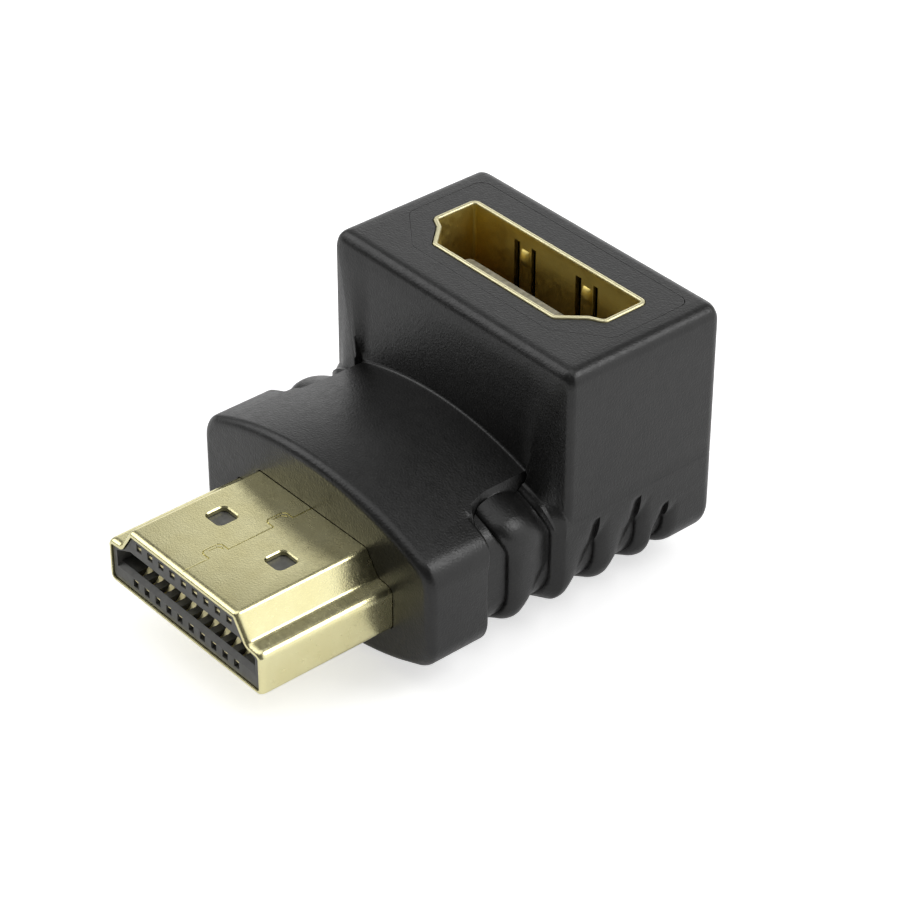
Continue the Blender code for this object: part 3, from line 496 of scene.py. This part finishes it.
def flank(panel, half_width, drop, lower_drop):
    """The section's right flank: shoulder, upper round, side, lower round, lower foot."""
    upper = corner_arc(half_width, drop)
    shoulder = []
    for i in range(SHOULDER_POINTS):
        x = between(panel + STEP_HALF, upper[0][0], i / SHOULDER_POINTS)
        shoulder.append((x, crown(x) - drop))
    lower = [(x, -z) for x, z in reversed(corner_arc(half_width, lower_drop))]
    side = [between(upper[-1], lower[0], i / SIDE_POINTS) for i in range(1, SIDE_POINTS)]
    low_x = PANEL_HALF_WIDTH + STEP_HALF
    return shoulder + upper + side + lower + [(low_x, lower_drop - crown(low_x))]


def neck_top(panel, shrink, crease, outer):
    """The arched panel and the creased step down to its shoulder."""
    edge = panel - STEP_HALF
    points = [(edge * i / PANEL_STEPS, crown(edge * i / PANEL_STEPS) - shrink)
              for i in range(PANEL_STEPS + 1)]
    fall = crown(outer[0][0]) - shrink - outer[0][1]
    for i in range(1, STEP_POINTS):
        share = i / STEP_POINTS
        x = edge + 2 * STEP_HALF * share
        depth = fall * ease(share) + crease * sin(pi * share)
        points.append((x, crown(x) - shrink - depth))
    return points + outer[:SHOULDER_POINTS + CORNER_POINTS + 1]


def tower_top(y, half_width, arc_drop):
    """Right half of the tower's section above the side, with as many points as the neck's top."""
    front = round_drop(y - TOWER_FRONT, TOWER_SIDE_ROUND)
    back = BODY_BACK - y
    drop = round_drop(y - TOWER_FRONT, TOWER_TOP_ROUND) + round_drop(back, TOWER_TOP_ROUND)
    height = TOWER_HEIGHT - AXIS_HEIGHT - drop
    flat = HALF_WIDTH - front - round_drop(back, TOWER_BACK_ROUND) - TOWER_TOP_ROUND
    points = [(flat * i / PANEL_STEPS, height) for i in range(PANEL_STEPS)]
    for i in range(STEP_POINTS + 1):
        angle = pi / 2 * (1 - i / STEP_POINTS)
        points.append((flat + TOWER_TOP_ROUND * cos(angle),
                       height - TOWER_TOP_ROUND * (1 - sin(angle))))
    shown = max(acos(1 - front / CORNER_RADIUS), NARROWEST_ARC)
    arc = corner_arc(half_width, arc_drop, shown)
    start = height - TOWER_TOP_ROUND
    for i in range(1, SHOULDER_POINTS):
        z = between(start, arc[0][1], (i / SHOULDER_POINTS) ** WALL_SPREAD)
        points.append((flat + TOWER_TOP_ROUND, z))
    return points + arc


def body_section(y, as_tower):
    """Right half of the body's section, from the top middle to the underside."""
    shrink = round_drop(y - BODY_FRONT, FRONT_ROUND) + round_drop(BODY_BACK - y, BACK_ROUND)
    on_tower = ramp(y, TOWER_FRONT - TOWER_LEAN, TOWER_FRONT)
    inset = shrink + NECK_INSET * past_head(y) * (1 - on_tower)
    side_shrink = round_drop(y - BODY_FRONT, FRONT_ROUND) + round_drop(BODY_BACK - y, TOWER_BACK_ROUND)
    half_width = HALF_WIDTH - side_shrink - NECK_INSET * past_head(y) * (1 - on_tower)
    drop = shrink + SHOULDER_STEP * past_head(y)
    panel = panel_half_width(y)
    plain = flank(panel, half_width, drop, inset)
    deep = flank(panel, half_width - RIB_DEPTH, drop + RIB_DEPTH, inset + RIB_DEPTH)
    outer = []
    for surface, floor in zip(plain, deep):
        share = rib_cut(y, surface[1], rib_reach(y, surface[1])) * past_head(y)
        outer.append(between(surface, floor, share))
    outer[-1] = plain[-1]
    base_x = [PANEL_HALF_WIDTH * (1 - i / PANEL_STEPS) for i in range(PANEL_STEPS + 1)]
    base = [(x, inset - min(crown(x), AXIS_HEIGHT + inset - shrink)) for x in base_x]
    if as_tower:
        top = tower_top(y, half_width, drop)
    else:
        top = neck_top(panel, shrink, CREASE_DEPTH * past_head(y), outer)
    return top, outer[SHOULDER_POINTS + CORNER_POINTS + 1:] + base


def body_lean(y, x, z):
    """How far a point of a section lies in front of it: the ribs' ends, and the tower's back."""
    beside_panel = ramp(abs(x), PANEL_HALF_WIDTH, PANEL_HALF_WIDTH + STEP_HALF)
    on_ribs = beside_panel * ramp(y, HEAD_BACK, HEAD_BACK + RIB_LEAN_LENGTH)
    low = RIB_LOWER_LEAN * ease(ramp(-z, RIB_LEAN_START, RIB_LEAN_END))
    low *= ramp(-y, -BODY_BACK + BACK_ROUND, -RIB_WALLS[-1])
    if y >= TOWER_FRONT:
        tower = ramp(z, 0.0, TOWER_HEIGHT - AXIS_HEIGHT)
        return low * on_ribs + TOWER_BACK_LEAN * ramp(y, BODY_BACK - BACK_ROUND, BODY_BACK) * tower
    height = ease(ramp(z, RIB_LEAN_START, RIB_LEAN_END))
    high = RIB_LEAN * height * ramp(-y, -TOWER_FRONT, -TOWER_FRONT + RIB_LEAN)
    head = ramp(y, HEAD_BACK - RIB_LEAN_LENGTH, HEAD_BACK - HEAD_STEP_LENGTH)
    head *= ramp(-y, -HEAD_BACK - RIB_LEAN_LENGTH, -HEAD_BACK)
    return (low + high) * on_ribs - HEAD_LEAN * height * head


def mirrored_ring(points):
    """A whole ring of design points from its right half (x, y, z)."""
    left = [(-x, y, z) for x, y, z in reversed(points[1:-1])]
    return points + left


def body_ring(y, as_tower):
    """The whole section of the body at one place."""
    top, rest = body_section(y, as_tower)
    return mirrored_ring([(x, y - body_lean(y, x, z), AXIS_HEIGHT + z) for x, z in top + rest])


def wall_rings():
    """Rings that climb the tower's front wall from the neck, with a small fillet at its foot."""
    start = TOWER_FRONT - TOWER_LEAN
    neck, _ = body_section(start, False)
    tower, _ = body_section(TOWER_FRONT, True)
    rise = tower[0][1] - neck[0][1]
    foot = [(WALL_FILLET / rise * step, WALL_FILLET * sin(pi / 2 * i / FOOT_POINTS))
            for i, step in enumerate(round_steps(FOOT_POINTS))]
    climbs = foot[1:] + [(share, WALL_FILLET) for share in WALL_CLIMBS]
    rings = []
    for share, forward in climbs:
        y = between(start, TOWER_FRONT, share)
        wall_y = y - (WALL_FILLET - forward)
        top = [between(a, b, share) for a, b in zip(neck, tower)]
        _, rest = body_section(y, False)
        points = [(x, wall_y - body_lean(wall_y, x, z), z) for x, z in top]
        points += [(x, y - body_lean(y, x, z), z) for x, z in rest]
        rings.append(mirrored_ring([(x, at, AXIS_HEIGHT + z) for x, at, z in points]))
    return rings


def rib_stations():
    """Places along the body that the ribs' lips, falls and floors need."""
    stations = []
    for wall, next_wall in zip(RIB_WALLS, RIB_WALLS[1:] + [BODY_BACK]):
        stations += [wall - RIB_WALL_LENGTH] + [wall + RIB_LIP * step for step in round_steps(LIP_POINTS)]
        if next_wall < BODY_BACK:
            start = wall + RIB_LIP
            fall = next_wall - RIB_FLOOR - start
            stations += [start + fall * i / LIP_POINTS for i in range(1, LIP_POINTS + 1)]
    return stations


def body_stations():
    """Places along the body where its section is given."""
    stations = [BODY_FRONT + FRONT_ROUND * step for step in round_steps(ROUND_POINTS)]
    stations += [HEAD_BACK - HEAD_STEP_LENGTH * step for step in round_steps(ROUND_POINTS)]
    stations += [HEAD_BACK + PANEL_FILLET * step for step in round_steps(FLARE_POINTS)]
    stations += rib_stations()
    stations += [TOWER_FRONT - TOWER_LEAN - WALL_FILLET]
    stations += [TOWER_FRONT + TOWER_SIDE_ROUND * step for step in round_steps(TOWER_FRONT_POINTS)]
    stations += [BODY_BACK - BACK_ROUND * step for step in round_steps(BACK_POINTS)]
    stations.sort()
    return [y for i, y in enumerate(stations) if i == 0 or y - stations[i - 1] > LEAST_STATION_GAP]


def body_rings():
    """All rings of the body: head and neck, the tower's front wall, then the tower."""
    neck_end = TOWER_FRONT - TOWER_LEAN - WALL_FILLET
    stations = body_stations()
    rings = [body_ring(y, False) for y in stations if y <= neck_end]
    rings += wall_rings()
    rings += [body_ring(y, True) for y in stations if y >= TOWER_FRONT]
    return rings


# Outlines of the plug, the port and the inner moulding

def shell_outline(half_width, half_height, shoulder, rise, ledge, top, grow):
    """The connector's outline: wide side at the bottom, narrow side at the top."""
    right = [(half_width, -half_height, PLUG_ROUND), (half_width, rise, PLUG_ROUND),
             (shoulder, rise + ledge, PLUG_SHOULDER_ROUND), (top, half_height, PLUG_SHOULDER_ROUND)]
    left = [(-x, y, radius) for x, y, radius in reversed(right)]
    return offset(rounded(right + left), grow)


def plug_ring(y, grow):
    """The plug's outline at one distance from its tip."""
    outline = shell_outline(PLUG_HALF_WIDTH, PLUG_HALF_HEIGHT, PLUG_SHOULDER_HALF_WIDTH,
                            PLUG_SHOULDER_RISE, PLUG_LEDGE_RISE, PLUG_TOP_HALF_WIDTH, grow)
    return [(p.x, y, AXIS_HEIGHT + p.y) for p in outline]


def port_ring(z, grow):
    """The port's outline at one height."""
    outline = shell_outline(PORT_HALF_WIDTH, PORT_HALF_DEPTH, PORT_SHOULDER_HALF_WIDTH,
                            PORT_SHOULDER_RISE, PORT_LEDGE_RISE, PORT_TOP_HALF_WIDTH, grow)
    return [(p.x, PORT_Y - p.y, z) for p in outline]


def inner_top_ring(z, grow):
    """Plan of the inner moulding round the port: square at the back, sloped at the front."""
    slope_end = INNER_TOP_FRONT + INNER_TOP_SLOPE_LENGTH
    right = [(INNER_TOP_HALF_WIDTH - INNER_TOP_SLOPE_WIDTH, INNER_TOP_FRONT, INNER_TOP_ROUND),
             (INNER_TOP_HALF_WIDTH, slope_end, INNER_TOP_ROUND),
             (INNER_TOP_HALF_WIDTH, INNER_TOP_BACK, INNER_TOP_ROUND)]
    left = [(-x, y, radius) for x, y, radius in reversed(right)]
    return [(p.x, p.y, z) for p in offset(rounded(right + left), grow)]


def parting_ring(z):
    """The parting line round the inner moulding, which is tighter at the front."""
    tight = inner_top_ring(z, TIGHT_FIT)
    loose = inner_top_ring(z, 2 * TIGHT_FIT)
    return [between(a, b, ramp(a[1], INNER_TOP_FRONT, PORT_Y)) for a, b in zip(tight, loose)]


def inner_block_ring(y, grow):
    """Section of the inner moulding's lower block."""
    half_width = INNER_BLOCK_HALF_WIDTH + grow
    half_height = INNER_BLOCK_HALF_HEIGHT + grow
    corners = [(half_width, -half_height), (half_width, half_height),
               (-half_width, half_height), (-half_width, -half_height)]
    outline = rounded([(x, z, INNER_BLOCK_ROUND) for x, z in corners])
    return [(p.x, y, AXIS_HEIGHT + p.y) for p in outline]


def build_moulding():
    """The ribbed outer moulding, open where the plug and the inner moulding come out."""
    body = loft("moulding_skin", body_rings())
    block_front = INNER_BLOCK_FRONT - FIT
    carve(body, loft("cut_block", [inner_block_ring(block_front, FIT),
                                   inner_block_ring(INNER_BLOCK_BACK + FIT, FIT)]))
    carve(body, loft("cut_top", [inner_top_ring(z, FIT) for z in
                                 (INNER_TOP_START - FIT, TOWER_HEIGHT - PARTING_DEPTH)]))
    carve(body, loft("cut_parting", [parting_ring(z) for z in
                                     (TOWER_HEIGHT - 2 * PARTING_DEPTH, TOWER_HEIGHT + OVERRUN)]))
    carve(body, loft("cut_plug", [plug_ring(BODY_FRONT - OVERRUN, FIT),
                                  plug_ring(block_front + OVERRUN, FIT)]))
    smooth(body, MOULDING_SHARP)
    return body


# Plug shell

def flat_cutter(name, outline, grow, surface, depth):
    """A cutter down through a flat wall, whose top flares into a bevel at the surface."""
    levels = [(surface + BEVEL_DEPTH, grow + 2 * BEVEL_WIDTH), (surface - BEVEL_DEPTH, grow),
              (surface - depth, grow)]
    rings = [[(p.x, p.y, z) for p in offset(outline, wide)] for z, wide in levels]
    return loft(name, rings)


def hole_outline(x, y, size, radius):
    """A rounded square hole round one place."""
    half = size / 2
    corners = [(x + half, y - half), (x + half, y + half), (x - half, y + half), (x - half, y - half)]
    return rounded([(a, b, radius) for a, b in corners], HOLE_POINTS)


def seam_path():
    """The seam down the middle of the plug's top, with its two dovetails."""
    path = [(0.0, -OVERRUN)]
    corner = DOVETAIL_CORNER
    for start, length in zip(DOVETAIL_STARTS, DOVETAIL_LENGTHS):
        end = start + length
        path += [(0.0, start), (-DOVETAIL_REACH + corner, start), (-DOVETAIL_REACH, start + corner),
                 (-DOVETAIL_REACH, end - corner), (-DOVETAIL_REACH + corner, end), (0.0, end)]
    return path + [(0.0, SHELL_END + OVERRUN)]


def ribbon(path, thickness):
    """The closed outline of a path with a thickness."""
    near = []
    far = []
    points = [Vector(p) for p in path]
    for i, point in enumerate(points):
        ahead = (points[min(i + 1, len(points) - 1)] - points[min(i, len(points) - 2)]).normalized()
        behind = (points[max(i, 1)] - points[max(i - 1, 0)]).normalized()
        normal = Vector((-ahead.y - behind.y, ahead.x + behind.x)).normalized()
        reach = thickness / 2 / max(normal.dot(Vector((-ahead.y, ahead.x))), SHARPEST_TURN)
        near.append(point + normal * reach)
        far.append(point - normal * reach)
    return near + far[::-1]


def tab_edge_path(start, end):
    """The pressed line inside a dovetail, along its side and far end."""
    side = TAB_EDGE_INSET - DOVETAIL_REACH
    far = end - TAB_EDGE_INSET
    corner = DOVETAIL_CORNER
    return [(side, start + 2 * TAB_EDGE_INSET), (side, far - corner), (side + corner, far),
            (-TAB_EDGE_INSET, far)]


def groove(name, path, surface):
    """A cutter for a shallow groove with sloping sides along a path in a flat wall."""
    levels = ((surface + BEVEL_DEPTH, SEAM_GAP + 2 * BEVEL_WIDTH), (surface - BEVEL_DEPTH, SEAM_GAP))
    return loft(name, [[(p[0], p[1], z) for p in ribbon(path, width)] for z, width in levels])


def build_plug_shell():
    """The folded plug shell: rolled tip, bevelled seam with dovetails, and bevelled holes."""
    turns = [pi / 2 * i / ROUND_POINTS for i in range(ROUND_POINTS + 1)]
    lip = [(ROLL_LENGTH * (1 - sin(turn)), ROLL_DROP * (1 - cos(turn))) for turn in turns]
    profile = lip[::-1] + [(SHELL_END, 0.0), (SHELL_END, SHEET), (0.0, SHEET)]
    shell = loft("plug_shell_skin", [plug_ring(y, -inset) for y, inset in profile], True)
    top = AXIS_HEIGHT + PLUG_HALF_HEIGHT
    carve(shell, groove("cut_seam", seam_path(), top))
    for start, length in zip(DOVETAIL_STARTS, DOVETAIL_LENGTHS):
        carve(shell, groove("cut_tab_edge", tab_edge_path(start, start + length), top))
    for side in (-1, 1):
        outline = hole_outline(side * HOLE_SPACING / 2, HOLE_START + HOLE_SIZE / 2, HOLE_SIZE, HOLE_ROUND)
        carve(shell, flat_cutter("cut_hole", outline, 0.0, top, 2 * SHEET))
        low = [[(p.x, p.y, z) for p in offset(outline, wide)] for z, wide in
               ((2 * AXIS_HEIGHT - top - BEVEL_DEPTH, 2 * BEVEL_WIDTH),
                (2 * AXIS_HEIGHT - top + BEVEL_DEPTH, 0.0),
                (2 * AXIS_HEIGHT - top + 2 * SHEET, 0.0))]
        carve(shell, loft("cut_low_hole", low))
    smooth(shell, SHELL_SHARP)
    return shell


# Port shell

def finger_path(side, reach):
    """Path in y and z of a spring finger that bulges into the opening by a reach."""
    wall = PORT_Y + side * (PORT_HALF_DEPTH - SHEET / 2)
    top = PORT_RIM - FINGER_TOP
    path = [(wall, top + SHEET)]
    for i in range(FINGER_POINTS + 1):
        share = i / FINGER_POINTS
        drop = between(PILLOW_START, PILLOW_END, share)
        path.append((wall - side * reach * sin(pi * share) ** PILLOW_FULLNESS, top - drop))
    return path + [(wall, top - FINGER_LENGTH - SHEET)]


def finger_rings(side, x):
    """Rings across a finger: its bulge is a small pillow, narrower than the finger."""
    rings = []
    for i in range(FINGER_POINTS + 1):
        across = 2 * i / FINGER_POINTS - 1
        inside = min(abs(across) / PILLOW_WIDTH, 1.0)
        reach = FINGER_REACH * (1 - inside ** PILLOW_SQUARENESS)
        outline = ribbon(finger_path(side, reach), FINGER_THICKNESS)
        rings.append([(x + across * FINGER_WIDTH / 2, p.x, p.y) for p in outline])
    return rings


def slot_boxes():
    """The two slots beside each spring finger of the port shell."""
    corners = []
    top = PORT_RIM - FINGER_TOP
    for side in (-1, 1):
        wall = PORT_Y + side * (PORT_HALF_DEPTH - SHEET / 2)
        for x in (-FINGER_SPACING / 2, FINGER_SPACING / 2):
            half = FINGER_WIDTH / 2 + FINGER_SLOT
            corners.append(((x - half, wall - SHEET, top - FINGER_LENGTH), (x + half, wall + SHEET, top)))
    return corners


def build_port_shell():
    """The folded port shell: rolled rim, spring fingers in their slots, and legs."""
    leg_end = BOARD_TOP - LEG_LENGTH
    profile = [(leg_end, 0.0), (PORT_RIM - RIM_ROLL, 0.0)]
    for i in range(1, ROUND_POINTS):
        angle = pi * i / ROUND_POINTS
        inset = SHEET / 2 * (1 - cos(angle))
        profile.append((PORT_RIM - RIM_ROLL * (1 - sin(angle)), inset))
    profile += [(PORT_RIM - RIM_ROLL, SHEET), (leg_end, SHEET)]
    shell = loft("port_shell_skin", [port_ring(z, -inset) for z, inset in profile], True)
    legs = (PORT_Y, PORT_Y + LEG_SPACING)
    half = LEG_WIDTH / 2
    spans = [(PORT_Y - 2 * PORT_HALF_DEPTH, legs[0] - half), (legs[0] + half, legs[1] - half),
             (legs[1] + half, PORT_Y + 2 * PORT_HALF_DEPTH)]
    reach = PORT_HALF_WIDTH + OVERRUN
    carve(shell, boxes("cut_legs", [((-reach, low, leg_end - OVERRUN), (reach, high, BOARD_TOP + FIT))
                                    for low, high in spans]))
    carve(shell, boxes("cut_slots", slot_boxes()))
    for side in (-1, 1):
        for x in (-FINGER_SPACING / 2, FINGER_SPACING / 2):
            carve(shell, loft("join_finger", finger_rings(side, x)), "UNION")
    smooth(shell, SHELL_SHARP)
    return shell


# Materials

class Finish:
    """A Principled material whose textures lie on the part's own places in millimetres."""

    def __init__(self, name, colour, roughness, metallic=0.0):
        self.material = bpy.data.materials.new(name)
        self.material.use_nodes = True
        self.nodes = self.material.node_tree.nodes
        self.links = self.material.node_tree.links
        self.shader = self.nodes["Principled BSDF"]
        self.shader.inputs["Base Color"].default_value = (*colour, 1.0)
        self.shader.inputs["Roughness"].default_value = roughness
        self.shader.inputs["Metallic"].default_value = metallic
        place = self.nodes.new("ShaderNodeTexCoord")
        scale = self.nodes.new("ShaderNodeMapping")
        scale.inputs["Scale"].default_value = (1 / MM, 1 / MM, 1 / MM)
        self.links.new(place.outputs["Object"], scale.inputs["Vector"])
        self.place = scale.outputs["Vector"]

    def height(self):
        """The height of the surface over the underside in millimetres."""
        made = self.nodes.new("ShaderNodeSeparateXYZ")
        self.links.new(self.place, made.inputs["Vector"])
        return made.outputs["Z"]

    def noise(self, size, detail=2.0, rough=0.5):
        """Noise whose patches are about one size in millimetres."""
        made = self.nodes.new("ShaderNodeTexNoise")
        made.inputs["Scale"].default_value = 1 / size
        made.inputs["Detail"].default_value = detail
        made.inputs["Roughness"].default_value = rough
        self.links.new(self.place, made.inputs["Vector"])
        return made.outputs["Fac"]

    def cells(self, size, smoothness=0.6):
        """Soft pebbles of about one size in millimetres."""
        made = self.nodes.new("ShaderNodeTexVoronoi")
        made.feature = "SMOOTH_F1"
        made.inputs["Scale"].default_value = 1 / size
        made.inputs["Smoothness"].default_value = smoothness
        self.links.new(self.place, made.inputs["Vector"])
        return made.outputs["Distance"]

    def spread(self, source, low, high, start=0.3, end=0.7):
        """A texture's range turned to the range from low to high."""
        made = self.nodes.new("ShaderNodeMapRange")
        made.inputs["From Min"].default_value = start
        made.inputs["From Max"].default_value = end
        made.inputs["To Min"].default_value = low
        made.inputs["To Max"].default_value = high
        self.links.new(source, made.inputs["Value"])
        return made.outputs["Result"]

    def ramp_colour(self, source, stops):
        """Colour that runs through stops (value, colour) of a texture."""
        first = stops[0][0]
        last = stops[-1][0]
        made = self.nodes.new("ShaderNodeValToRGB")
        while len(made.color_ramp.elements) < len(stops):
            made.color_ramp.elements.new(1.0)
        for element, (value, colour) in zip(made.color_ramp.elements, stops):
            element.position = (value - first) / (last - first)
            element.color = (*colour, 1.0)
        self.links.new(self.spread(source, 0.0, 1.0, first, last), made.inputs["Fac"])
        return made.outputs["Color"]

    def tint(self, source, dark, light):
        """The surface's colour runs from dark to light with a texture."""
        made = self.nodes.new("ShaderNodeMix")
        made.data_type = "RGBA"
        made.inputs["A"].default_value = (*dark, 1.0)
        made.inputs["B"].default_value = (*light, 1.0)
        self.links.new(source, made.inputs["Factor"])
        self.links.new(made.outputs["Result"], self.shader.inputs["Base Color"])

    def rough(self, source):
        """The surface's roughness follows a texture."""
        self.links.new(source, self.shader.inputs["Roughness"])

    def bump(self, sources):
        """Stack bumps (texture, height in millimetres) on the surface."""
        normal = None
        for source, height in sources:
            made = self.nodes.new("ShaderNodeBump")
            made.inputs["Distance"].default_value = height * MM
            self.links.new(source, made.inputs["Height"])
            if normal is not None:
                self.links.new(normal, made.inputs["Normal"])
            normal = made.outputs["Normal"]
        self.links.new(normal, self.shader.inputs["Normal"])


def moulding_finish(name, dark, light):
    """Charcoal moulded plastic with a fine pebbled grain."""
    made = Finish(name, light, 0.45)
    made.tint(made.spread(made.noise(0.9, 3), 0.0, 1.0), dark, light)
    made.rough(made.spread(made.noise(0.3, 3), 0.3, 0.4))
    made.bump([(made.noise(0.6, 2), 0.003), (made.cells(0.14), 0.006), (made.noise(0.12, 2), 0.015)])
    return made.material


def gilt_finish(name, dark, light, grain, roughness):
    """Pale gold plating over stamped sheet."""
    made = Finish(name, light, 0.2, 1.0)
    made.tint(made.spread(made.noise(1.5, 2), 0.0, 1.0), dark, light)
    made.rough(made.spread(made.noise(0.3, 3), roughness - 0.04, roughness + 0.04))
    made.bump([(made.noise(0.6, 1), grain / 4), (made.noise(0.1, 2), grain)])
    return made.material


def port_finish_painted_shade(name):
    """Gold plating, pale at the port's rim, with painted shade that turns it brown in its depth."""
    made = Finish(name, PORT_COLOUR, 0.25, 1.0)
    # painted shade: colour stops by depth below the rim, darker and browner deeper in the port
    stops = [(PORT_RIM - depth, colour) for depth, colour in PORT_SHADE_DEPTHS]
    made.links.new(made.ramp_colour(made.height(), stops), made.shader.inputs["Base Color"])
    made.rough(made.spread(made.noise(0.4, 3), 0.34, 0.5))
    made.bump([(made.noise(0.4, 2), 0.005), (made.noise(0.12, 2), 0.004)])
    return made.material


def plastic_finish(name, dark, light, roughness, grain):
    """Plain moulded plastic of the connectors' inner parts."""
    made = Finish(name, light, roughness)
    made.tint(made.spread(made.noise(0.4, 3), 0.0, 1.0), dark, light)
    made.rough(made.spread(made.noise(0.2, 2), roughness - 0.05, roughness + 0.05))
    made.bump([(made.noise(0.15, 3), grain)])
    return made.material


def dress(node, material):
    """Give a CAD node its finish."""
    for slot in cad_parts[node].material_slots:
        slot.material = material


def take_over(piece, node, material):
    """A detailed piece stands for a CAD node and rides where it does."""
    piece.data.materials.clear()
    piece.data.materials.append(material)
    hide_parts(node)
    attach(piece, "root")


# Stage, light and camera

def stage_floor():
    """A white floor that shows white to the camera and keeps the object's shadow."""
    mesh_data = bmesh.new()
    bmesh.ops.create_grid(mesh_data, x_segments=1, y_segments=1, size=FLOOR_REACH)
    floor = add_object("floor", mesh_data)
    material = bpy.data.materials.new("floor_white")
    material.use_nodes = True
    nodes = material.node_tree.nodes
    links = material.node_tree.links
    shader = nodes["Principled BSDF"]
    shader.inputs["Base Color"].default_value = FLOOR_COLOUR
    shader.inputs["Roughness"].default_value = 0.9
    shader.inputs["Specular IOR Level"].default_value = 0.0
    shader.inputs["Emission Color"].default_value = (1.0, 1.0, 1.0, 1.0)
    links.new(seen_rays(nodes, links, FLOOR_SEEN, FLOOR_REFLECTED), shader.inputs["Emission Strength"])
    floor.data.materials.append(material)


def seen_rays(nodes, links, seen, reflected):
    """One strength for the camera's view, also through glass, another for reflections, else 0."""
    path = nodes.new("ShaderNodeLightPath")
    total = None
    rays = (("Is Camera Ray", seen), ("Is Transmission Ray", seen), ("Is Glossy Ray", reflected))
    for ray, strength in rays:
        made = nodes.new("ShaderNodeMath")
        made.operation = "MULTIPLY_ADD"
        made.inputs[1].default_value = strength
        made.inputs[2].default_value = 0.0
        links.new(path.outputs[ray], made.inputs[0])
        if total is not None:
            links.new(total, made.inputs[2])
        total = made.outputs["Value"]
    return total


def panel_glow(nodes, links, view, panel):
    """Light from one soft panel of the studio: full inside one angle, none outside another."""
    direction, inner, outer, level = panel
    facing = nodes.new("ShaderNodeVectorMath")
    facing.operation = "DOT_PRODUCT"
    facing.inputs[1].default_value = Vector(direction).normalized()
    links.new(view, facing.inputs[0])
    fade = nodes.new("ShaderNodeMapRange")
    fade.interpolation_type = "SMOOTHSTEP"
    fade.inputs["From Min"].default_value = cos(radians(outer))
    fade.inputs["From Max"].default_value = cos(radians(inner))
    fade.inputs["To Max"].default_value = level
    links.new(facing.outputs["Value"], fade.inputs["Value"])
    return fade.outputs["Result"]


def light_world():
    """Soft panels round a dim room, which light and reflect; the camera sees plain white."""
    world = bpy.data.worlds.new("studio")
    bpy.context.scene.world = world
    world.use_nodes = True
    nodes = world.node_tree.nodes
    links = world.node_tree.links
    background = nodes["Background"]
    background.inputs["Color"].default_value = (1.0, 1.0, 1.0, 1.0)
    view = nodes.new("ShaderNodeTexCoord").outputs["Generated"]
    total = None
    for panel in STUDIO_PANELS:
        glow = nodes.new("ShaderNodeMath")
        glow.operation = "ADD"
        glow.inputs[1].default_value = ROOM_LEVEL
        links.new(panel_glow(nodes, links, view, panel), glow.inputs[0])
        if total is not None:
            links.new(total, glow.inputs[1])
        total = glow.outputs["Value"]
    seen = nodes.new("ShaderNodeMix")
    seen.inputs["B"].default_value = 1.0
    links.new(seen_rays(nodes, links, 1.0, 0.0), seen.inputs["Factor"])
    links.new(total, seen.inputs["A"])
    links.new(seen.outputs["Result"], background.inputs["Strength"])


def add_lamp():
    """One soft square lamp above the adapter's right and back, aimed at it."""
    data = bpy.data.lights.new("key", "AREA")
    data.shape = "SQUARE"
    data.size = KEY_SIZE
    data.energy = KEY_POWER
    lamp = bpy.data.objects.new("key", data)
    bpy.context.scene.collection.objects.link(lamp)
    away = Vector(KEY_DIRECTION).normalized()
    lamp.location = Vector(KEY_AIM) + away * KEY_DISTANCE
    lamp.rotation_euler = away.to_track_quat("Z", "Y").to_euler()


def add_camera():
    """The photograph's camera, turned about the adapter's design place."""
    flat = cos(CAMERA_ELEVATION)
    back = Vector((sin(CAMERA_AZIMUTH) * flat, -cos(CAMERA_AZIMUTH) * flat, sin(CAMERA_ELEVATION)))
    level = Vector((cos(CAMERA_AZIMUTH), sin(CAMERA_AZIMUTH), 0.0))
    upright = back.cross(level)
    right = level * cos(CAMERA_ROLL) + upright * sin(CAMERA_ROLL)
    up = upright * cos(CAMERA_ROLL) - level * sin(CAMERA_ROLL)
    place = CAMERA_AIM + back * CAMERA_DISTANCE + right * CAMERA_SIDE + up * CAMERA_RISE
    data = bpy.data.cameras.new("camera")
    data.sensor_width = SENSOR
    data.lens = SENSOR * FOCAL_PIXELS / IMAGE_WIDTH
    data.clip_start = CAMERA_CLIP
    camera = bpy.data.objects.new("camera", data)
    bpy.context.scene.collection.objects.link(camera)
    turn = Matrix((right, up, back)).transposed().to_4x4()
    camera.matrix_world = Matrix.Translation(scene_point(*place)) @ turn
    bpy.context.scene.camera = camera


def main():
    """Dress every node, then set the stage, the light and the camera."""
    moulding = moulding_finish("moulding", *MOULDING_COLOURS)
    inner = moulding_finish("inner_moulding", *INNER_COLOURS)
    gilt = gilt_finish("gilt_shell", *GILT_COLOURS, grain=0.006, roughness=0.24)
    # the port shell's gold, with painted shade in its depth
    inside = port_finish_painted_shade("gilt_port_painted_shade")
    contact = gilt_finish("gilt_contact", *CONTACT_COLOURS, grain=0.003, roughness=0.5)
    insulator = plastic_finish("insulator_plastic", *INSULATOR_COLOURS, roughness=0.45, grain=0.004)
    ivory = plastic_finish("port_plastic", *IVORY_COLOURS, roughness=0.45, grain=0.02)
    board = plastic_finish("board_laminate", *BOARD_COLOURS, roughness=0.4, grain=0.004)
    take_over(build_moulding(), "overmould", moulding)
    take_over(build_plug_shell(), "plug_shell", gilt)
    take_over(build_port_shell(), "port_shell", inside)
    dress("inner_mould", inner)
    dress("plug_insulator", insulator)
    dress("port_insulator", ivory)
    dress("circuit_board", board)
    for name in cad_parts:
        if "contact" in name:
            dress(name, contact)
    stage_floor()
    light_world()
    add_lamp()
    add_camera()
    bpy.context.scene.view_settings.view_transform = "Standard"


main()
